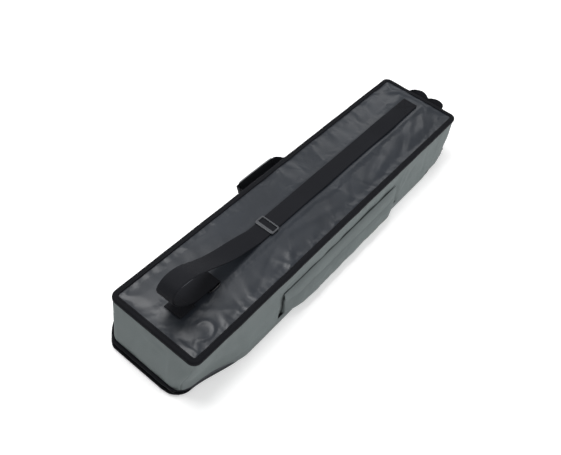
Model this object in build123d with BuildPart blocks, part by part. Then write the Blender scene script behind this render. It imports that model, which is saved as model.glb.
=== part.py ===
from build123d import *
import os

os.makedirs("parts", exist_ok=True)

# A soft snowboard bag lying on its zipped lid. Millimetres, +Z up, the floor at Z = 0.
# X runs along the bag (the end grab handle is at +X), the carry handle is on the +Y side
# and the flap pocket is on the -Y side. The origin is on the lid's underside.

# ---------------------------------------------------------------- driving dimensions
length = 1460              # back panel, end to end
width = 325                # back panel, side to side
height = 185               # top of the back panel above the floor
corner = 24                # plan radius of the panel's corners
foot_corner = 52           # plan radius of the corners at the foot
flare_x = 11               # how much further out each end wall stands at its foot
flare_y = 9.5              # the same for the side walls
fabric = 1.5               # coated cover fabric
wall_foam = 5
panel_foam = 8
lining = 0.8
layer_gap = 0.1            # air between two layers of one wall
binding_wide = 16          # edge binding seen from above
binding_high = 12          # edge binding seen from the side
binding_thick = 1.5

split = 16.2               # height of the zip's parting line
zip_gap = 0.4              # air between the two rows of zip teeth
teeth = 1.5                # height of one row of teeth
tape = 1.2                 # zip tape thickness
wall_low = 18              # foot of the walls
wall_high = height - fabric - layer_gap
zip_end_y = -150           # the zip stops here, short of the pocket side
hinge_y = -182             # the lid's fabric hinge runs along the pocket side
hinge_half = 640
lid_long = length + 2 * flare_x
lid_edge = width / 2 + flare_y
lid_hinge_edge = hinge_y - 1.5

webbing = 1.6              # webbing thickness
strap_wide = 60
strap_y = 4                # centre line of the strap
layer_low = height + 0.4   # underside of the moving lower layer
layer_mid = height + 2.3   # underside of the fixed lower layer
layer_top = height + 4.2   # underside of the upper layer
adjuster_x = -222
adjuster_long = 40
adjuster_wide = 71
ring_x = -532              # inner bar of the strap's ring
ring_long = 44             # bar to bar
ring_r = 2.5


# ---------------------------------------------------------------- shared shapes
def panel_outline(grow=0.0):
    """Plan outline of the back panel, grown outward."""
    RectangleRounded(length + 2 * grow, width + 2 * grow, corner + grow)


def foot_outline(grow=0.0):
    """Plan outline of the walls' foot, where the zip is."""
    RectangleRounded(length + 2 * (flare_x + grow), width + 2 * (flare_y + grow), foot_corner + grow)


def flared_block(inset, mode=Mode.ADD):
    """Block from the walls' foot to the back panel, drawn in by inset."""
    with BuildSketch(Plane.XY.offset(wall_low)) as foot:
        foot_outline(-inset)
    with BuildSketch(Plane.XY.offset(wall_high)) as top:
        panel_outline(-inset)
    loft(sections=[foot.sketch, top.sketch], ruled=True, mode=mode)


def wall_layer(outer, thickness):
    """One layer of wall all round the bag, outer millimetres inside the cover's face."""
    flared_block(outer)
    flared_block(outer + thickness, mode=Mode.SUBTRACT)


def keep_wall(side):
    """Keep one wall, cut on the diagonals through the corners' centres."""
    cx = length / 2 - corner
    cy = width / 2 - corner
    reach = 90
    if side in ("near", "far"):
        s = 1 if side == "far" else -1
        points = [(s * cx, -cy), (s * (cx + reach), -cy - reach), (s * (cx + reach), cy + reach), (s * cx, cy)]
    else:
        s = 1 if side == "handle" else -1
        points = [(-cx, s * cy), (-cx - reach, s * (cy + reach)), (cx + reach, s * (cy + reach)), (cx, s * cy)]
    with BuildSketch(Plane.XY) as sector:
        Polygon(*points, align=None)
    extrude(sector.sketch, amount=height + 20, both=True, mode=Mode.INTERSECT)


def lid_outline(grow=0.0, mode=Mode.ADD):
    """Plan outline of the lid, which reaches out to the hinge on the pocket side."""
    with Locations((0, (lid_edge + lid_hinge_edge) / 2)):
        RectangleRounded(
            lid_long + 2 * grow, lid_edge - lid_hinge_edge + 2 * grow, foot_corner + grow, mode=mode
        )


def zip_band(inner, outer, low, high):
    """Band along the zip: both ends and the handle side, open on the pocket side."""
    with BuildSketch(Plane.XY.offset(low)) as band:
        lid_outline(outer)
        lid_outline(inner, mode=Mode.SUBTRACT)
        with Locations((0, zip_end_y - width / 2)):
            Rectangle(2 * length, width, mode=Mode.SUBTRACT)
    extrude(band.sketch, amount=high - low)


def ribbon(points, radii, thickness, wide, across):
    """Flat webbing or sheet bent along a path; across is the direction of its width."""
    with BuildLine() as path:
        FilletPolyline(*points, radius=radii)
    with BuildSketch(Plane(origin=path.line @ 0, x_dir=across, z_dir=path.line % 0)) as section:
        Rectangle(wide, thickness)
    sweep(section.sketch, path=path.line)


def plate(low, high):
    """Box between two corners."""
    size = [b - a for a, b in zip(low, high)]
    middle = [(a + b) / 2 for a, b in zip(low, high)]
    with Locations(tuple(middle)):
        Box(*size)


def finish(name, builder):
    builder.part.label = name
    export_step(builder.part, f"parts/{name}.step")
    return builder.part


# ---------------------------------------------------------------- shell: back panel
with BuildPart() as back_panel_cover:
    with BuildSketch(Plane.XY.offset(height - fabric)):
        panel_outline()
    extrude(amount=fabric)
finish("back_panel_cover", back_panel_cover)

panel_inset = fabric + wall_foam + lining + 1

with BuildPart() as back_panel_foam:
    with BuildSketch(Plane.XY.offset(wall_high - panel_foam)):
        panel_outline(-panel_inset)
    extrude(amount=panel_foam)
finish("back_panel_foam", back_panel_foam)

with BuildPart() as back_panel_lining:
    with BuildSketch(Plane.XY.offset(wall_high - panel_foam - layer_gap - lining)):
        panel_outline(-panel_inset)
    extrude(amount=lining)
finish("back_panel_lining", back_panel_lining)

with BuildPart() as back_edge_binding:
    with BuildSketch(Plane.XY.offset(height - binding_high)):
        panel_outline(2.6)
        RectangleRounded(length + 2, width + 2, corner + 1, mode=Mode.SUBTRACT)
    extrude(amount=binding_high + layer_gap)
    with BuildSketch(Plane.XY.offset(height + layer_gap)):
        panel_outline(2.6)
        RectangleRounded(
            length - 2 * binding_wide, width - 2 * binding_wide, corner - binding_wide, mode=Mode.SUBTRACT
        )
    extrude(amount=binding_thick)
finish("back_edge_binding", back_edge_binding)

# ---------------------------------------------------------------- shell: walls
for side in ("near", "far", "handle", "pocket"):
    wall_name = f"{side}_end_wall" if side in ("near", "far") else f"{side}_side_wall"
    with BuildPart() as wall_cover:
        wall_layer(0, fabric)
        keep_wall(side)
    finish(wall_name, wall_cover)
    with BuildPart() as wall_padding:
        wall_layer(fabric + layer_gap, wall_foam)
        keep_wall(side)
    finish(f"{wall_name}_foam", wall_padding)
    with BuildPart() as wall_inner:
        wall_layer(fabric + wall_foam + 2 * layer_gap, lining)
        keep_wall(side)
    finish(f"{wall_name}_lining", wall_inner)

# ---------------------------------------------------------------- zip
piping_low = 25
piping_high = 31
edge_high = 10             # lid edge binding

with BuildPart() as shell_zip_tape:
    zip_band(0.1, 0.1 + tape, wall_low, piping_low)
finish("shell_zip_tape", shell_zip_tape)

with BuildPart() as shell_zip_teeth:
    zip_band(0.1, 4.5, split + zip_gap / 2, split + zip_gap / 2 + teeth)
finish("shell_zip_teeth", shell_zip_teeth)

with BuildPart() as shell_piping:
    zip_band(1.6, 8.5, piping_low + 0.1, piping_high)
    fillet(shell_piping.edges().filter_by(Axis.Z, reverse=True), radius=2.4)
finish("shell_piping", shell_piping)

with BuildPart() as lid_zip_tape:
    zip_band(0.1, 0.1 + tape, edge_high + 0.1, split - zip_gap / 2 - teeth)
finish("lid_zip_tape", lid_zip_tape)

with BuildPart() as lid_zip_teeth:
    zip_band(0.1, 4.5, split - zip_gap / 2 - teeth, split - zip_gap / 2)
finish("lid_zip_teeth", lid_zip_teeth)

with BuildPart() as zip_end_tabs:
    for s in (-1, 1):
        x = s * (length / 2 + flare_x - 2)
        plate((x - 2.9, zip_end_y - 14, 2), (x + 2.9, zip_end_y - 0.2, split - zip_gap / 2))
finish("zip_end_tabs", zip_end_tabs)

# ---------------------------------------------------------------- lid
with BuildPart() as lid_cover:
    with BuildSketch(Plane.XY):
        lid_outline(-1.2)
    extrude(amount=fabric)
finish("lid_cover", lid_cover)

with BuildPart() as lid_foam:
    with BuildSketch(Plane.XY.offset(fabric + layer_gap)):
        lid_outline(-4)
    extrude(amount=panel_foam)
finish("lid_foam", lid_foam)

with BuildPart() as lid_lining:
    with BuildSketch(Plane.XY.offset(fabric + panel_foam + 2 * layer_gap)):
        lid_outline(-4)
    extrude(amount=lining)
finish("lid_lining", lid_lining)

with BuildPart() as lid_edge_binding:
    zip_band(-1, 10, 0, edge_high)
    fillet(lid_edge_binding.edges().filter_by(Axis.Z, reverse=True), radius=3)
finish("lid_edge_binding", lid_edge_binding)

with BuildPart() as hinge_strip:
    plate((-hinge_half, hinge_y - 1.4, fabric + layer_gap), (hinge_half, hinge_y - 0.2, split - 1))
finish("hinge_strip", hinge_strip)

# ---------------------------------------------------------------- zip sliders and pulls
slider_x = 17
slider_long = 16
teeth_y = width / 2 + flare_y + 4.5

for name, s in (("a", -1), ("b", 1)):
    with BuildPart() as zip_slider:
        plate(
            (s * slider_x - slider_long / 2, teeth_y + 0.4, split - 4.4),
            (s * slider_x + slider_long / 2, teeth_y + 2.8, split + 4.4),
        )
        fillet(zip_slider.edges().filter_by(Axis.Y), radius=2.5)
        plate(
            (s * slider_x - slider_long / 2 + 1, teeth_y - 2.6, split - 4.4),
            (s * slider_x + slider_long / 2 - 1, teeth_y + 0.5, split - 2.6),
        )
        for dz in (-3.4, 3.4):
            plate(
                (s * slider_x - 1.4, teeth_y + 2.7, split + dz - 0.8),
                (s * slider_x + 1.4, teeth_y + 7.4, split + dz + 0.8),
            )
        with Locations((s * slider_x, teeth_y + 6.3, split)):
            Cylinder(radius=0.9, height=6.8)
    finish(f"zip_slider_{name}", zip_slider)

    with BuildPart() as zip_pull:
        with BuildSketch(Plane.XY.offset(split - 2.2)):
            with Locations((s * slider_x, teeth_y + 6.3)):
                Circle(2.9)
            with Locations((s * (slider_x + 15), teeth_y + 6.3)):
                Rectangle(30, 2.2)
            with Locations((s * slider_x, teeth_y + 6.3)):
                Circle(1.4, mode=Mode.SUBTRACT)
        extrude(amount=4.4)
        plate(
            (min(s * (slider_x + 9), s * (slider_x + 30)), teeth_y + 5.2, split - 4),
            (max(s * (slider_x + 9), s * (slider_x + 30)), teeth_y + 7.4, split + 4),
        )
    finish(f"zip_pull_{name}", zip_pull)

# ---------------------------------------------------------------- shoulder strap
box_stitch_end = 664
loop_rise_x = -312


with BuildPart() as shoulder_strap:
    plate(
        (loop_rise_x, strap_y - strap_wide / 2, layer_top),
        (box_stitch_end, strap_y + strap_wide / 2, layer_top + webbing),
    )
finish("shoulder_strap", shoulder_strap)

with BuildPart() as strap_end_patch:
    plate(
        (box_stitch_end - 80, strap_y - strap_wide / 2, height + 0.1),
        (box_stitch_end, strap_y + strap_wide / 2, layer_top - 0.1),
    )
finish("strap_end_patch", strap_end_patch)

mid = webbing / 2
loop_profile = [
    (loop_rise_x - 0.2, layer_top + mid),
    (loop_rise_x - 20, layer_top + mid),
    (-470, height + 57),
    (-640, height + 148),
    (-698, height + 62),
    (-612, height + 12),
    (-521, height + 12),
    (-502, layer_mid + mid),
    (-335, layer_mid + mid),
]
with BuildPart() as strap_loop:
    ribbon(
        [(x, strap_y, z) for x, z in loop_profile],
        [40, 300, 54, 48, 70, 20, 20], webbing, strap_wide, (0, 1, 0),
    )
finish("strap_loop", strap_loop)

with BuildPart() as strap_lower_layer:
    plate(
        (-440, strap_y - strap_wide / 2, layer_low),
        (adjuster_x - 3.2, strap_y + strap_wide / 2, layer_low + webbing),
    )
finish("strap_lower_layer", strap_lower_layer)

with BuildPart() as strap_adjuster:
    rail = (adjuster_wide - strap_wide - 1) / 2
    bar_low = layer_top + webbing + 0.4
    bar_high = bar_low + 3
    for s in (-1, 1):
        edge = strap_y + s * (adjuster_wide - rail) / 2
        plate(
            (adjuster_x - adjuster_long / 2, edge - rail / 2, layer_low),
            (adjuster_x + adjuster_long / 2, edge + rail / 2, bar_high),
        )
    plate(
        (adjuster_x - adjuster_long / 2, strap_y - adjuster_wide / 2 + 0.5, bar_low),
        (adjuster_x - adjuster_long / 2 + 11, strap_y + adjuster_wide / 2 - 0.5, bar_high),
    )
    plate(
        (adjuster_x + adjuster_long / 2 - 5, strap_y - adjuster_wide / 2 + 0.5, bar_low),
        (adjuster_x + adjuster_long / 2, strap_y + adjuster_wide / 2 - 0.5, bar_high),
    )
    plate(
        (adjuster_x - 3, strap_y - adjuster_wide / 2 + 0.5, layer_low),
        (adjuster_x + 3, strap_y + adjuster_wide / 2 - 0.5, layer_top - 0.4),
    )
finish("strap_adjuster", strap_adjuster)

ring_inner_z = height + 4.4
ring_outer_z = layer_mid + webbing + 0.4 + ring_r
ring_half = strap_wide / 2 + 2 + ring_r

with BuildPart() as strap_ring:
    for x, z in ((ring_x, ring_inner_z), (ring_x + ring_long, ring_outer_z)):
        with Locations(Location((x, strap_y, z), (90, 0, 0))):
            Cylinder(radius=ring_r, height=2 * ring_half)
    for s in (-1, 1):
        with BuildLine() as rod:
            Line(
                (ring_x, strap_y + s * ring_half, ring_inner_z),
                (ring_x + ring_long, strap_y + s * ring_half, ring_outer_z),
            )
        with BuildSketch(Plane(origin=rod.line @ 0, z_dir=rod.line % 0)) as rod_section:
            Circle(ring_r)
        sweep(rod_section.sketch, path=rod.line)
        for corner_point in (rod.line @ 0, rod.line @ 1):
            with Locations(corner_point):
                Sphere(ring_r)
finish("strap_ring", strap_ring)

patch_low_x = -652
patch_high_x = -592

with BuildPart() as strap_anchor_patch:
    plate((patch_low_x, strap_y - 35, height + 0.1), (patch_high_x, strap_y + 29, height + 2.6))
finish("strap_anchor_patch", strap_anchor_patch)

with BuildPart() as ring_tab:
    sleeve = ring_r + 1
    tab_profile = [
        (patch_high_x + 0.2, ring_inner_z - sleeve),
        (ring_x + sleeve, ring_inner_z - sleeve),
        (ring_x + sleeve, ring_inner_z + sleeve),
        (ring_x - 26, ring_inner_z + sleeve),
    ]
    ribbon([(x, strap_y, z) for x, z in tab_profile], sleeve - 0.1, 1.2, strap_wide - 6, (0, 1, 0))
finish("ring_tab", ring_tab)

# ---------------------------------------------------------------- side carry handle
handle_high = 38
handle_thick = 2.4
side_handle_x = -37
side_handle_long = 224
side_handle_out = 34
grip_half = 88
side_hinge_y = 170.4
side_hinge_z = 152


def hinged_webbing(hinge, long, out, slant, radius):
    """Webbing bowed out from two narrow ends on its hinge line.

    The hinge plane's local X points out of the wall and its local Y along the handle.
    Slant is how far in from its ends the webbing reaches its full distance out.
    """
    path = [(0, -long / 2), (out, -long / 2 + slant), (out, long / 2 - slant), (0, long / 2)]
    points = [hinge.from_local_coords(Vector(a, b, 0)) for a, b in path]
    ribbon(points, radius, handle_thick, handle_high, hinge.z_dir)
    with BuildSketch(Plane(origin=hinge.origin, x_dir=hinge.x_dir, z_dir=hinge.y_dir)) as taper:
        Polygon(
            (-2, -1.5), (1, -1.5), (30, -handle_high / 2), (200, -handle_high / 2),
            (200, handle_high / 2), (30, handle_high / 2), (1, 1.5), (-2, 1.5),
            align=None,
        )
    extrude(taper.sketch, amount=long, both=True, mode=Mode.INTERSECT)


with BuildPart() as side_handle_webbing:
    hinged_webbing(
        Plane(origin=(side_handle_x, side_hinge_y, side_hinge_z), x_dir=(0, 1, 0), z_dir=(0, 0, 1)),
        side_handle_long, side_handle_out, 12, 9,
    )
finish("side_handle_webbing", side_handle_webbing)

with BuildPart() as side_handle_grip:
    out_y = side_hinge_y + side_handle_out
    plate(
        (side_handle_x - grip_half, out_y + handle_thick / 2 + 0.1, side_hinge_z - handle_high / 2),
        (side_handle_x + grip_half, out_y + handle_thick / 2 + 4, side_hinge_z + handle_high / 2),
    )
    fillet(side_handle_grip.edges().filter_by(Axis.X), radius=1.5)
finish("side_handle_grip", side_handle_grip)

with BuildPart() as side_handle_patches:
    for s in (-1, 1):
        x = side_handle_x + s * (side_handle_long / 2 - 4)
        plate((x - 20, 165.8, side_hinge_z - 20), (x + 20, 167.6, side_hinge_z + 16))
finish("side_handle_patches", side_handle_patches)

# ---------------------------------------------------------------- end grab handle
end_handle_y = -20
end_handle_long = 150
end_handle_out = 42
end_hinge_x = 738
end_hinge_z = 162

with BuildPart() as end_handle_webbing:
    hinged_webbing(
        Plane(origin=(end_hinge_x, end_handle_y, end_hinge_z), x_dir=(1, 0, 0), z_dir=(0, 0, 1)),
        end_handle_long, end_handle_out, 22, 16,
    )
finish("end_handle_webbing", end_handle_webbing)

with BuildPart() as end_handle_patches:
    for s in (-1, 1):
        y = end_handle_y + s * (end_handle_long / 2 - 4)
        plate((733.5, y - 20, end_hinge_z - 20), (735.1, y + 20, end_hinge_z + 16))
finish("end_handle_patches", end_handle_patches)

# ---------------------------------------------------------------- flap pocket on the pocket side
pocket_low_x = -345
pocket_high_x = 305
pocket_middle_x = (pocket_low_x + pocket_high_x) / 2
pocket_long = pocket_high_x - pocket_low_x
flap_hinge_y = -170
flap_hinge_z = 118


def pocket_sheet(profile):
    """Thin fabric bent to a (y, z) profile, as long as the pocket."""
    points = [(pocket_middle_x, y, z) for y, z in profile]
    ribbon(points, 8, fabric, pocket_long, (1, 0, 0))


def pocket_slab(profile, low_x, high_x):
    """Solid with a straight-sided (y, z) outline between two places along the bag."""
    with BuildSketch(Plane.YZ.offset(low_x)) as outline:
        Polygon(*profile, align=None)
    extrude(outline.sketch, amount=high_x - low_x)


with BuildPart() as pocket_panel:
    pocket_sheet([(-173.5, 28.5), (-195, 28.5), (-205, 44), (-204, 60), (-182, 80), (-177, 98)])
finish("pocket_panel", pocket_panel)

with BuildPart() as pocket_end_gussets:
    for x in (pocket_low_x + 1, pocket_high_x - 1 - fabric):
        pocket_slab([(-173, 30), (-191, 30), (-202, 46), (-201, 58), (-180, 77), (-175, 94), (-171, 94)], x, x + fabric)
finish("pocket_end_gussets", pocket_end_gussets)

with BuildPart() as pocket_flap:
    pocket_sheet([(flap_hinge_y, flap_hinge_z), (-182, 106), (-187, 84)])
finish("pocket_flap", pocket_flap)

with BuildPart() as flap_hook_strip:
    pocket_slab([(-185.2, 87), (-184, 87), (-181.6, 98), (-182.8, 98)], pocket_low_x + 20, pocket_high_x - 20)
finish("flap_hook_strip", flap_hook_strip)

with BuildPart() as panel_loop_strip:
    pocket_slab([(-182.4, 87), (-181.2, 87), (-178.5, 97), (-179.7, 97)], pocket_low_x + 20, pocket_high_x - 20)
finish("panel_loop_strip", panel_loop_strip)
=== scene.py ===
import math

import bmesh
import bpy
import numpy as np
from mathutils import Matrix, Vector


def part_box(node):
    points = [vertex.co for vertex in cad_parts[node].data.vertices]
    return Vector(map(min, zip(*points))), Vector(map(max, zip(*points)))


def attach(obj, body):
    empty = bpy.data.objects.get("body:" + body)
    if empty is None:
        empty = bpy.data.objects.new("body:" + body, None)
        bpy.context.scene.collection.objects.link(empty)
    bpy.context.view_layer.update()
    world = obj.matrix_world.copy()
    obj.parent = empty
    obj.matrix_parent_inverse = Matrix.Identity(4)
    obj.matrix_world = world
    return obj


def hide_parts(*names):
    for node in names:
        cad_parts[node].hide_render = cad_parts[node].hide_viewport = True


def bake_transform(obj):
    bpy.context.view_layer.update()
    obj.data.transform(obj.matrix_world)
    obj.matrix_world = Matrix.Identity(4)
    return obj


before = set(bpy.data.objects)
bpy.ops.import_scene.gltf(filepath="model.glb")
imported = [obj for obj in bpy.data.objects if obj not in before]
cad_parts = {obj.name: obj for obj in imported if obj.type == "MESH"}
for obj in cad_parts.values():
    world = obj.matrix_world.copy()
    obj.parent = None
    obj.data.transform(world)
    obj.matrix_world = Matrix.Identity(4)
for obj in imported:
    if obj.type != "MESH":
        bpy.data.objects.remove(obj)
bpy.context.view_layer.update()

MM = 0.001

# ---------------------------------------------------------------- sizes read from the frame, in metres
panel_low, panel_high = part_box("back_panel_cover")
PANEL_X, PANEL_Y, TOP = panel_high.x, panel_high.y, panel_high.z
CORNER = 24 * MM
BINDING = 16 * MM
lid_low, lid_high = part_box("lid_cover")
LID_INSET = 1.2 * MM
LID_X = lid_high.x + LID_INSET
LID_FAR_Y = lid_high.y + LID_INSET
LID_NEAR_Y = lid_low.y - LID_INSET
LID_CORNER = 52 * MM
strap_low, strap_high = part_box("shoulder_strap")
STRAP_SHIFT = 5 * MM
STRAP_Y = (strap_low.y + strap_high.y) / 2 + STRAP_SHIFT
STRAP_WIDE = strap_high.y - strap_low.y
pocket_low, pocket_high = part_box("pocket_panel")
piping_low, piping_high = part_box("shell_piping")
edge_low, edge_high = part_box("lid_edge_binding")
SPLIT = (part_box("lid_zip_teeth")[1].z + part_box("shell_zip_teeth")[0].z) / 2


# ---------------------------------------------------------------- mesh helpers
def smoothstep(low, high, value):
    t = np.clip((value - low) / (high - low), 0, 1)
    return t * t * (3 - 2 * t)


def travelled(points):
    """Distance along a path at each of its points."""
    return np.concatenate([[0], np.cumsum(np.linalg.norm(np.diff(points, axis=0), axis=1))])


def from_edge(x, y, half_x, low_y, high_y):
    """Distance inward from the nearest side of a rectangle."""
    return np.minimum(half_x - np.abs(x), np.minimum(y - low_y, high_y - y))


def ripple(seed, wavelength, terms=14):
    """Smooth seeded noise of two coordinates, about -1 to 1."""
    source = np.random.default_rng(seed)
    angle = source.uniform(0, 2 * np.pi, terms)
    size = 2 * np.pi / (wavelength * source.uniform(0.6, 1.7, terms))
    phase = source.uniform(0, 2 * np.pi, terms)

    def value(a, b):
        total = 0
        for i in range(terms):
            total = total + np.sin((a * np.cos(angle[i]) + b * np.sin(angle[i])) * size[i] + phase[i])
        return total / math.sqrt(terms) / 1.2

    return value


def new_object(name, data):
    piece = bpy.data.objects.new(name, data)
    bpy.context.scene.collection.objects.link(piece)
    return piece


def mesh_piece(name, points, faces, uv=None, smooth=True):
    """A mesh object from a list of points and faces; uv holds one pair, in metres, for each point."""
    mesh = bpy.data.meshes.new(name)
    mesh.from_pydata([tuple(p) for p in np.asarray(points, float)], [], [tuple(map(int, f)) for f in faces])
    if uv is not None:
        layer = mesh.uv_layers.new(name="weave")
        corners = np.zeros(len(mesh.loops), np.int32)
        mesh.loops.foreach_get("vertex_index", corners)
        layer.data.foreach_set("uv", np.asarray(uv, np.float32)[corners].ravel())
    mesh.polygons.foreach_set("use_smooth", np.full(len(mesh.polygons), smooth))
    mesh.validate()
    mesh.update()
    return new_object(name, mesh)


def bmesh_piece(name, bm, smooth=False):
    """A mesh object made from a bmesh, which is used up."""
    mesh = bpy.data.meshes.new(name)
    bm.to_mesh(mesh)
    bm.free()
    if smooth:
        mesh.polygons.foreach_set("use_smooth", np.full(len(mesh.polygons), True))
    return new_object(name, mesh)


def faces_out(piece):
    """Turn the faces of a closed piece outward."""
    bm = bmesh.new()
    bm.from_mesh(piece.data)
    bmesh.ops.recalc_face_normals(bm, faces=bm.faces)
    bm.to_mesh(piece.data)
    bm.free()
    return piece


def applied(piece):
    """Turn a piece's modifiers into its mesh."""
    bpy.context.view_layer.update()
    shown = piece.evaluated_get(bpy.context.evaluated_depsgraph_get())
    piece.data = bpy.data.meshes.new_from_object(shown)
    piece.modifiers.clear()
    return piece


def grid_faces(rows, columns, wrap_rows=False, wrap_columns=False):
    faces = []
    for i in range(rows if wrap_rows else rows - 1):
        for j in range(columns if wrap_columns else columns - 1):
            a, b = i, (i + 1) % rows
            c, d = j, (j + 1) % columns
            faces.append((a * columns + c, b * columns + c, b * columns + d, a * columns + d))
    return faces


def grid_piece(name, points, uv=None, thickness=0.0, wrap_rows=False, wrap_columns=False, flip=False):
    """Skin over a grid of points, shape (rows, columns, 3); a thickness grows against its normals."""
    rows, columns = points.shape[:2]
    faces = grid_faces(rows, columns, wrap_rows, wrap_columns)
    if flip:
        faces = [face[::-1] for face in faces]
    flat_uv = None if uv is None else uv.reshape(-1, 2)
    piece = mesh_piece(name, points.reshape(-1, 3), faces, flat_uv)
    if thickness:
        solid = piece.modifiers.new("thickness", "SOLIDIFY")
        solid.thickness = thickness
        solid.offset = -1
        applied(piece)
    return piece


def tube_piece(name, body, uv, closed_path=False):
    """Tube over rings of points, shape (rings, around, 3), capped at both ends unless its path is closed."""
    count, around = body.shape[:2]
    faces = grid_faces(count, around, wrap_rows=closed_path, wrap_columns=True)
    if not closed_path:
        faces.append(tuple(range(around))[::-1])
        faces.append(tuple((count - 1) * around + k for k in range(around)))
    return faces_out(mesh_piece(name, body.reshape(-1, 3), faces, uv.reshape(-1, 2)))


def tube_uv(body, along, around):
    """Texture plane of a tube, in metres: one value for each ring and one for each place of its section."""
    uv = np.zeros(body.shape[:2] + (2,))
    uv[..., 0] = along[:, None]
    uv[..., 1] = around[None, :]
    return uv


def swept_piece(name, points, across, up, section, closed_path=False):
    """Closed section of (across, up) pairs carried along a path of points with its two directions."""
    points, across, up = (np.asarray(a, float) for a in (points, across, up))
    section = np.asarray(section, float)
    body = points[:, None] + across[:, None] * section[None, :, :1] + up[:, None] * section[None, :, 1:]
    return tube_piece(name, body, tube_uv(body, travelled(points), section[:, 0]), closed_path)


def rounded_section(wide, thick, steps=3, bulge=0.0):
    """Flat strap section with round edges, as (across, up) pairs; bulge lifts its middle."""
    r = thick / 2
    half = wide / 2 - r
    across = np.linspace(-half, half, 9)
    lift = bulge * (1 - (across / half) ** 2)
    turn = np.linspace(0, math.pi, steps + 2)[1:-1]
    right = [(half + r * math.sin(a), -r * math.cos(a)) for a in turn]
    left = [(-half - r * math.sin(a), r * math.cos(a)) for a in turn]
    bottom = [(a, -r + l) for a, l in zip(across, lift)]
    top = [(a, r + l) for a, l in zip(across[::-1], lift[::-1])]
    return bottom + right + top + left


def round_section(radius, count=12):
    angles = np.linspace(0, 2 * np.pi, count, endpoint=False)
    return [(radius * math.cos(a), radius * math.sin(a)) for a in angles]


def smooth_path(points, step=4 * MM):
    """Dense points on a Catmull-Rom curve through a few points."""
    p = np.asarray(points, float)
    p = np.vstack([2 * p[0] - p[1], p, 2 * p[-1] - p[-2]])
    path = []
    for i in range(1, len(p) - 2):
        n = max(2, int(np.linalg.norm(p[i + 1, :3] - p[i, :3]) / step))
        for t in np.linspace(0, 1, n, endpoint=False):
            path.append(0.5 * (
                2 * p[i] + (p[i + 1] - p[i - 1]) * t
                + (2 * p[i - 1] - 5 * p[i] + 4 * p[i + 1] - p[i + 2]) * t * t
                + (3 * p[i] - p[i - 1] - 3 * p[i + 1] + p[i + 2]) * t ** 3
            ))
    path.append(p[-2])
    return np.array(path)


def tangents(path, closed=False):
    if closed:
        step = np.roll(path, -1, 0) - np.roll(path, 1, 0)
    else:
        step = np.gradient(path, axis=0)
    return step / np.linalg.norm(step, axis=1)[:, None]


def webbing(name, points, wide, thick, across=(0, 1, 0), bulge=0.0, step=4 * MM):
    """Woven strap that follows a smooth path; across is one direction, or one for each point."""
    across = np.broadcast_to(np.asarray(across, float), (len(points), 3))
    path = smooth_path(np.hstack([np.asarray(points, float), across]), step)
    path, side = path[:, :3], path[:, 3:]
    along = tangents(path)
    side = side - (side * along).sum(1)[:, None] * along
    side /= np.linalg.norm(side, axis=1)[:, None]
    up = np.cross(along, side)
    return swept_piece(name, path, side, up, rounded_section(wide, thick, bulge=bulge))


def rounded_loop(half_x, low_y, high_y, radius, step=6 * MM, stop=None, counts=None):
    """Points and outward directions round a rectangle with round corners, starting on -X.

    With stop the path leaves out the -Y side: it starts and ends that many degrees into its corners.
    counts holds the points along a short side, a long side and a corner, in place of step.
    """
    points, outward = [], []
    arc = counts[2] if counts else max(4, int(radius * math.pi / 2 / step))

    def straight(a, b, normal):
        n = max(2, int(np.linalg.norm(np.subtract(b, a)) / step))
        if counts:
            n = counts[0] if normal[0] else counts[1]
        for t in np.linspace(0, 1, n, endpoint=False):
            points.append((a[0] + (b[0] - a[0]) * t, a[1] + (b[1] - a[1]) * t))
            outward.append(normal)

    def turn(sx, sy, start, end):
        cx = sx * (half_x - radius)
        cy = high_y - radius if sy > 0 else low_y + radius
        count = max(3, int(arc * abs(end - start) / 90))
        for a in np.radians(np.linspace(start, end, count, endpoint=False)):
            points.append((cx + radius * math.cos(a), cy + radius * math.sin(a)))
            outward.append((math.cos(a), math.sin(a)))

    if stop is not None:
        turn(-1, -1, 180 + stop, 180)
    straight((-half_x, low_y + radius), (-half_x, high_y - radius), (-1, 0))
    turn(-1, 1, 180, 90)
    straight((-half_x + radius, high_y), (half_x - radius, high_y), (0, 1))
    turn(1, 1, 90, 0)
    straight((half_x, high_y - radius), (half_x, low_y + radius), (1, 0))
    turn(1, -1, 0, -90 if stop is None else -stop)
    if stop is None:
        straight((half_x - radius, low_y), (-half_x + radius, low_y), (0, -1))
        turn(-1, -1, -90, -180)
    return np.array(points), np.array(outward, float)


def band(name, loop, section, closed, taper=0.0):
    """Section of (outward, height) pairs carried round a level loop; taper narrows both open ends."""
    points, outward = loop
    count = len(points)
    path = np.column_stack([points, np.zeros(count)])
    side = np.column_stack([outward, np.zeros(count)])
    section = np.asarray(section, float)
    if not taper:
        return swept_piece(name, path, side, np.tile((0, 0, 1.0), (count, 1)), section, closed)
    steps = travelled(points)
    share = np.sqrt(np.clip(np.minimum(steps, steps[-1] - steps) / taper, 0.03, 1))
    inner, middle = section[:, 0].min(), section[:, 1].mean()
    body = np.zeros((count, len(section), 3))
    out = inner + (section[None, :, 0] - inner) * share[:, None]
    body[..., :2] = points[:, None] + outward[:, None] * out[..., None]
    body[..., 2] = middle + (section[None, :, 1] - middle) * (0.35 + 0.65 * share[:, None])
    return tube_piece(name, body, tube_uv(body, steps, section[:, 1]))


def rounded_rectangle(x0, x1, y0, y1, r, count):
    """Points round a rectangle, with count points on each round corner."""
    corners = ((x1 - r, y1 - r, 0), (x0 + r, y1 - r, 90), (x0 + r, y0 + r, 180), (x1 - r, y0 + r, 270))
    return np.array([
        (cx + r * math.cos(a), cy + r * math.sin(a))
        for cx, cy, start in corners for a in np.radians(np.linspace(start, start + 90, count))
    ])


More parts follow.
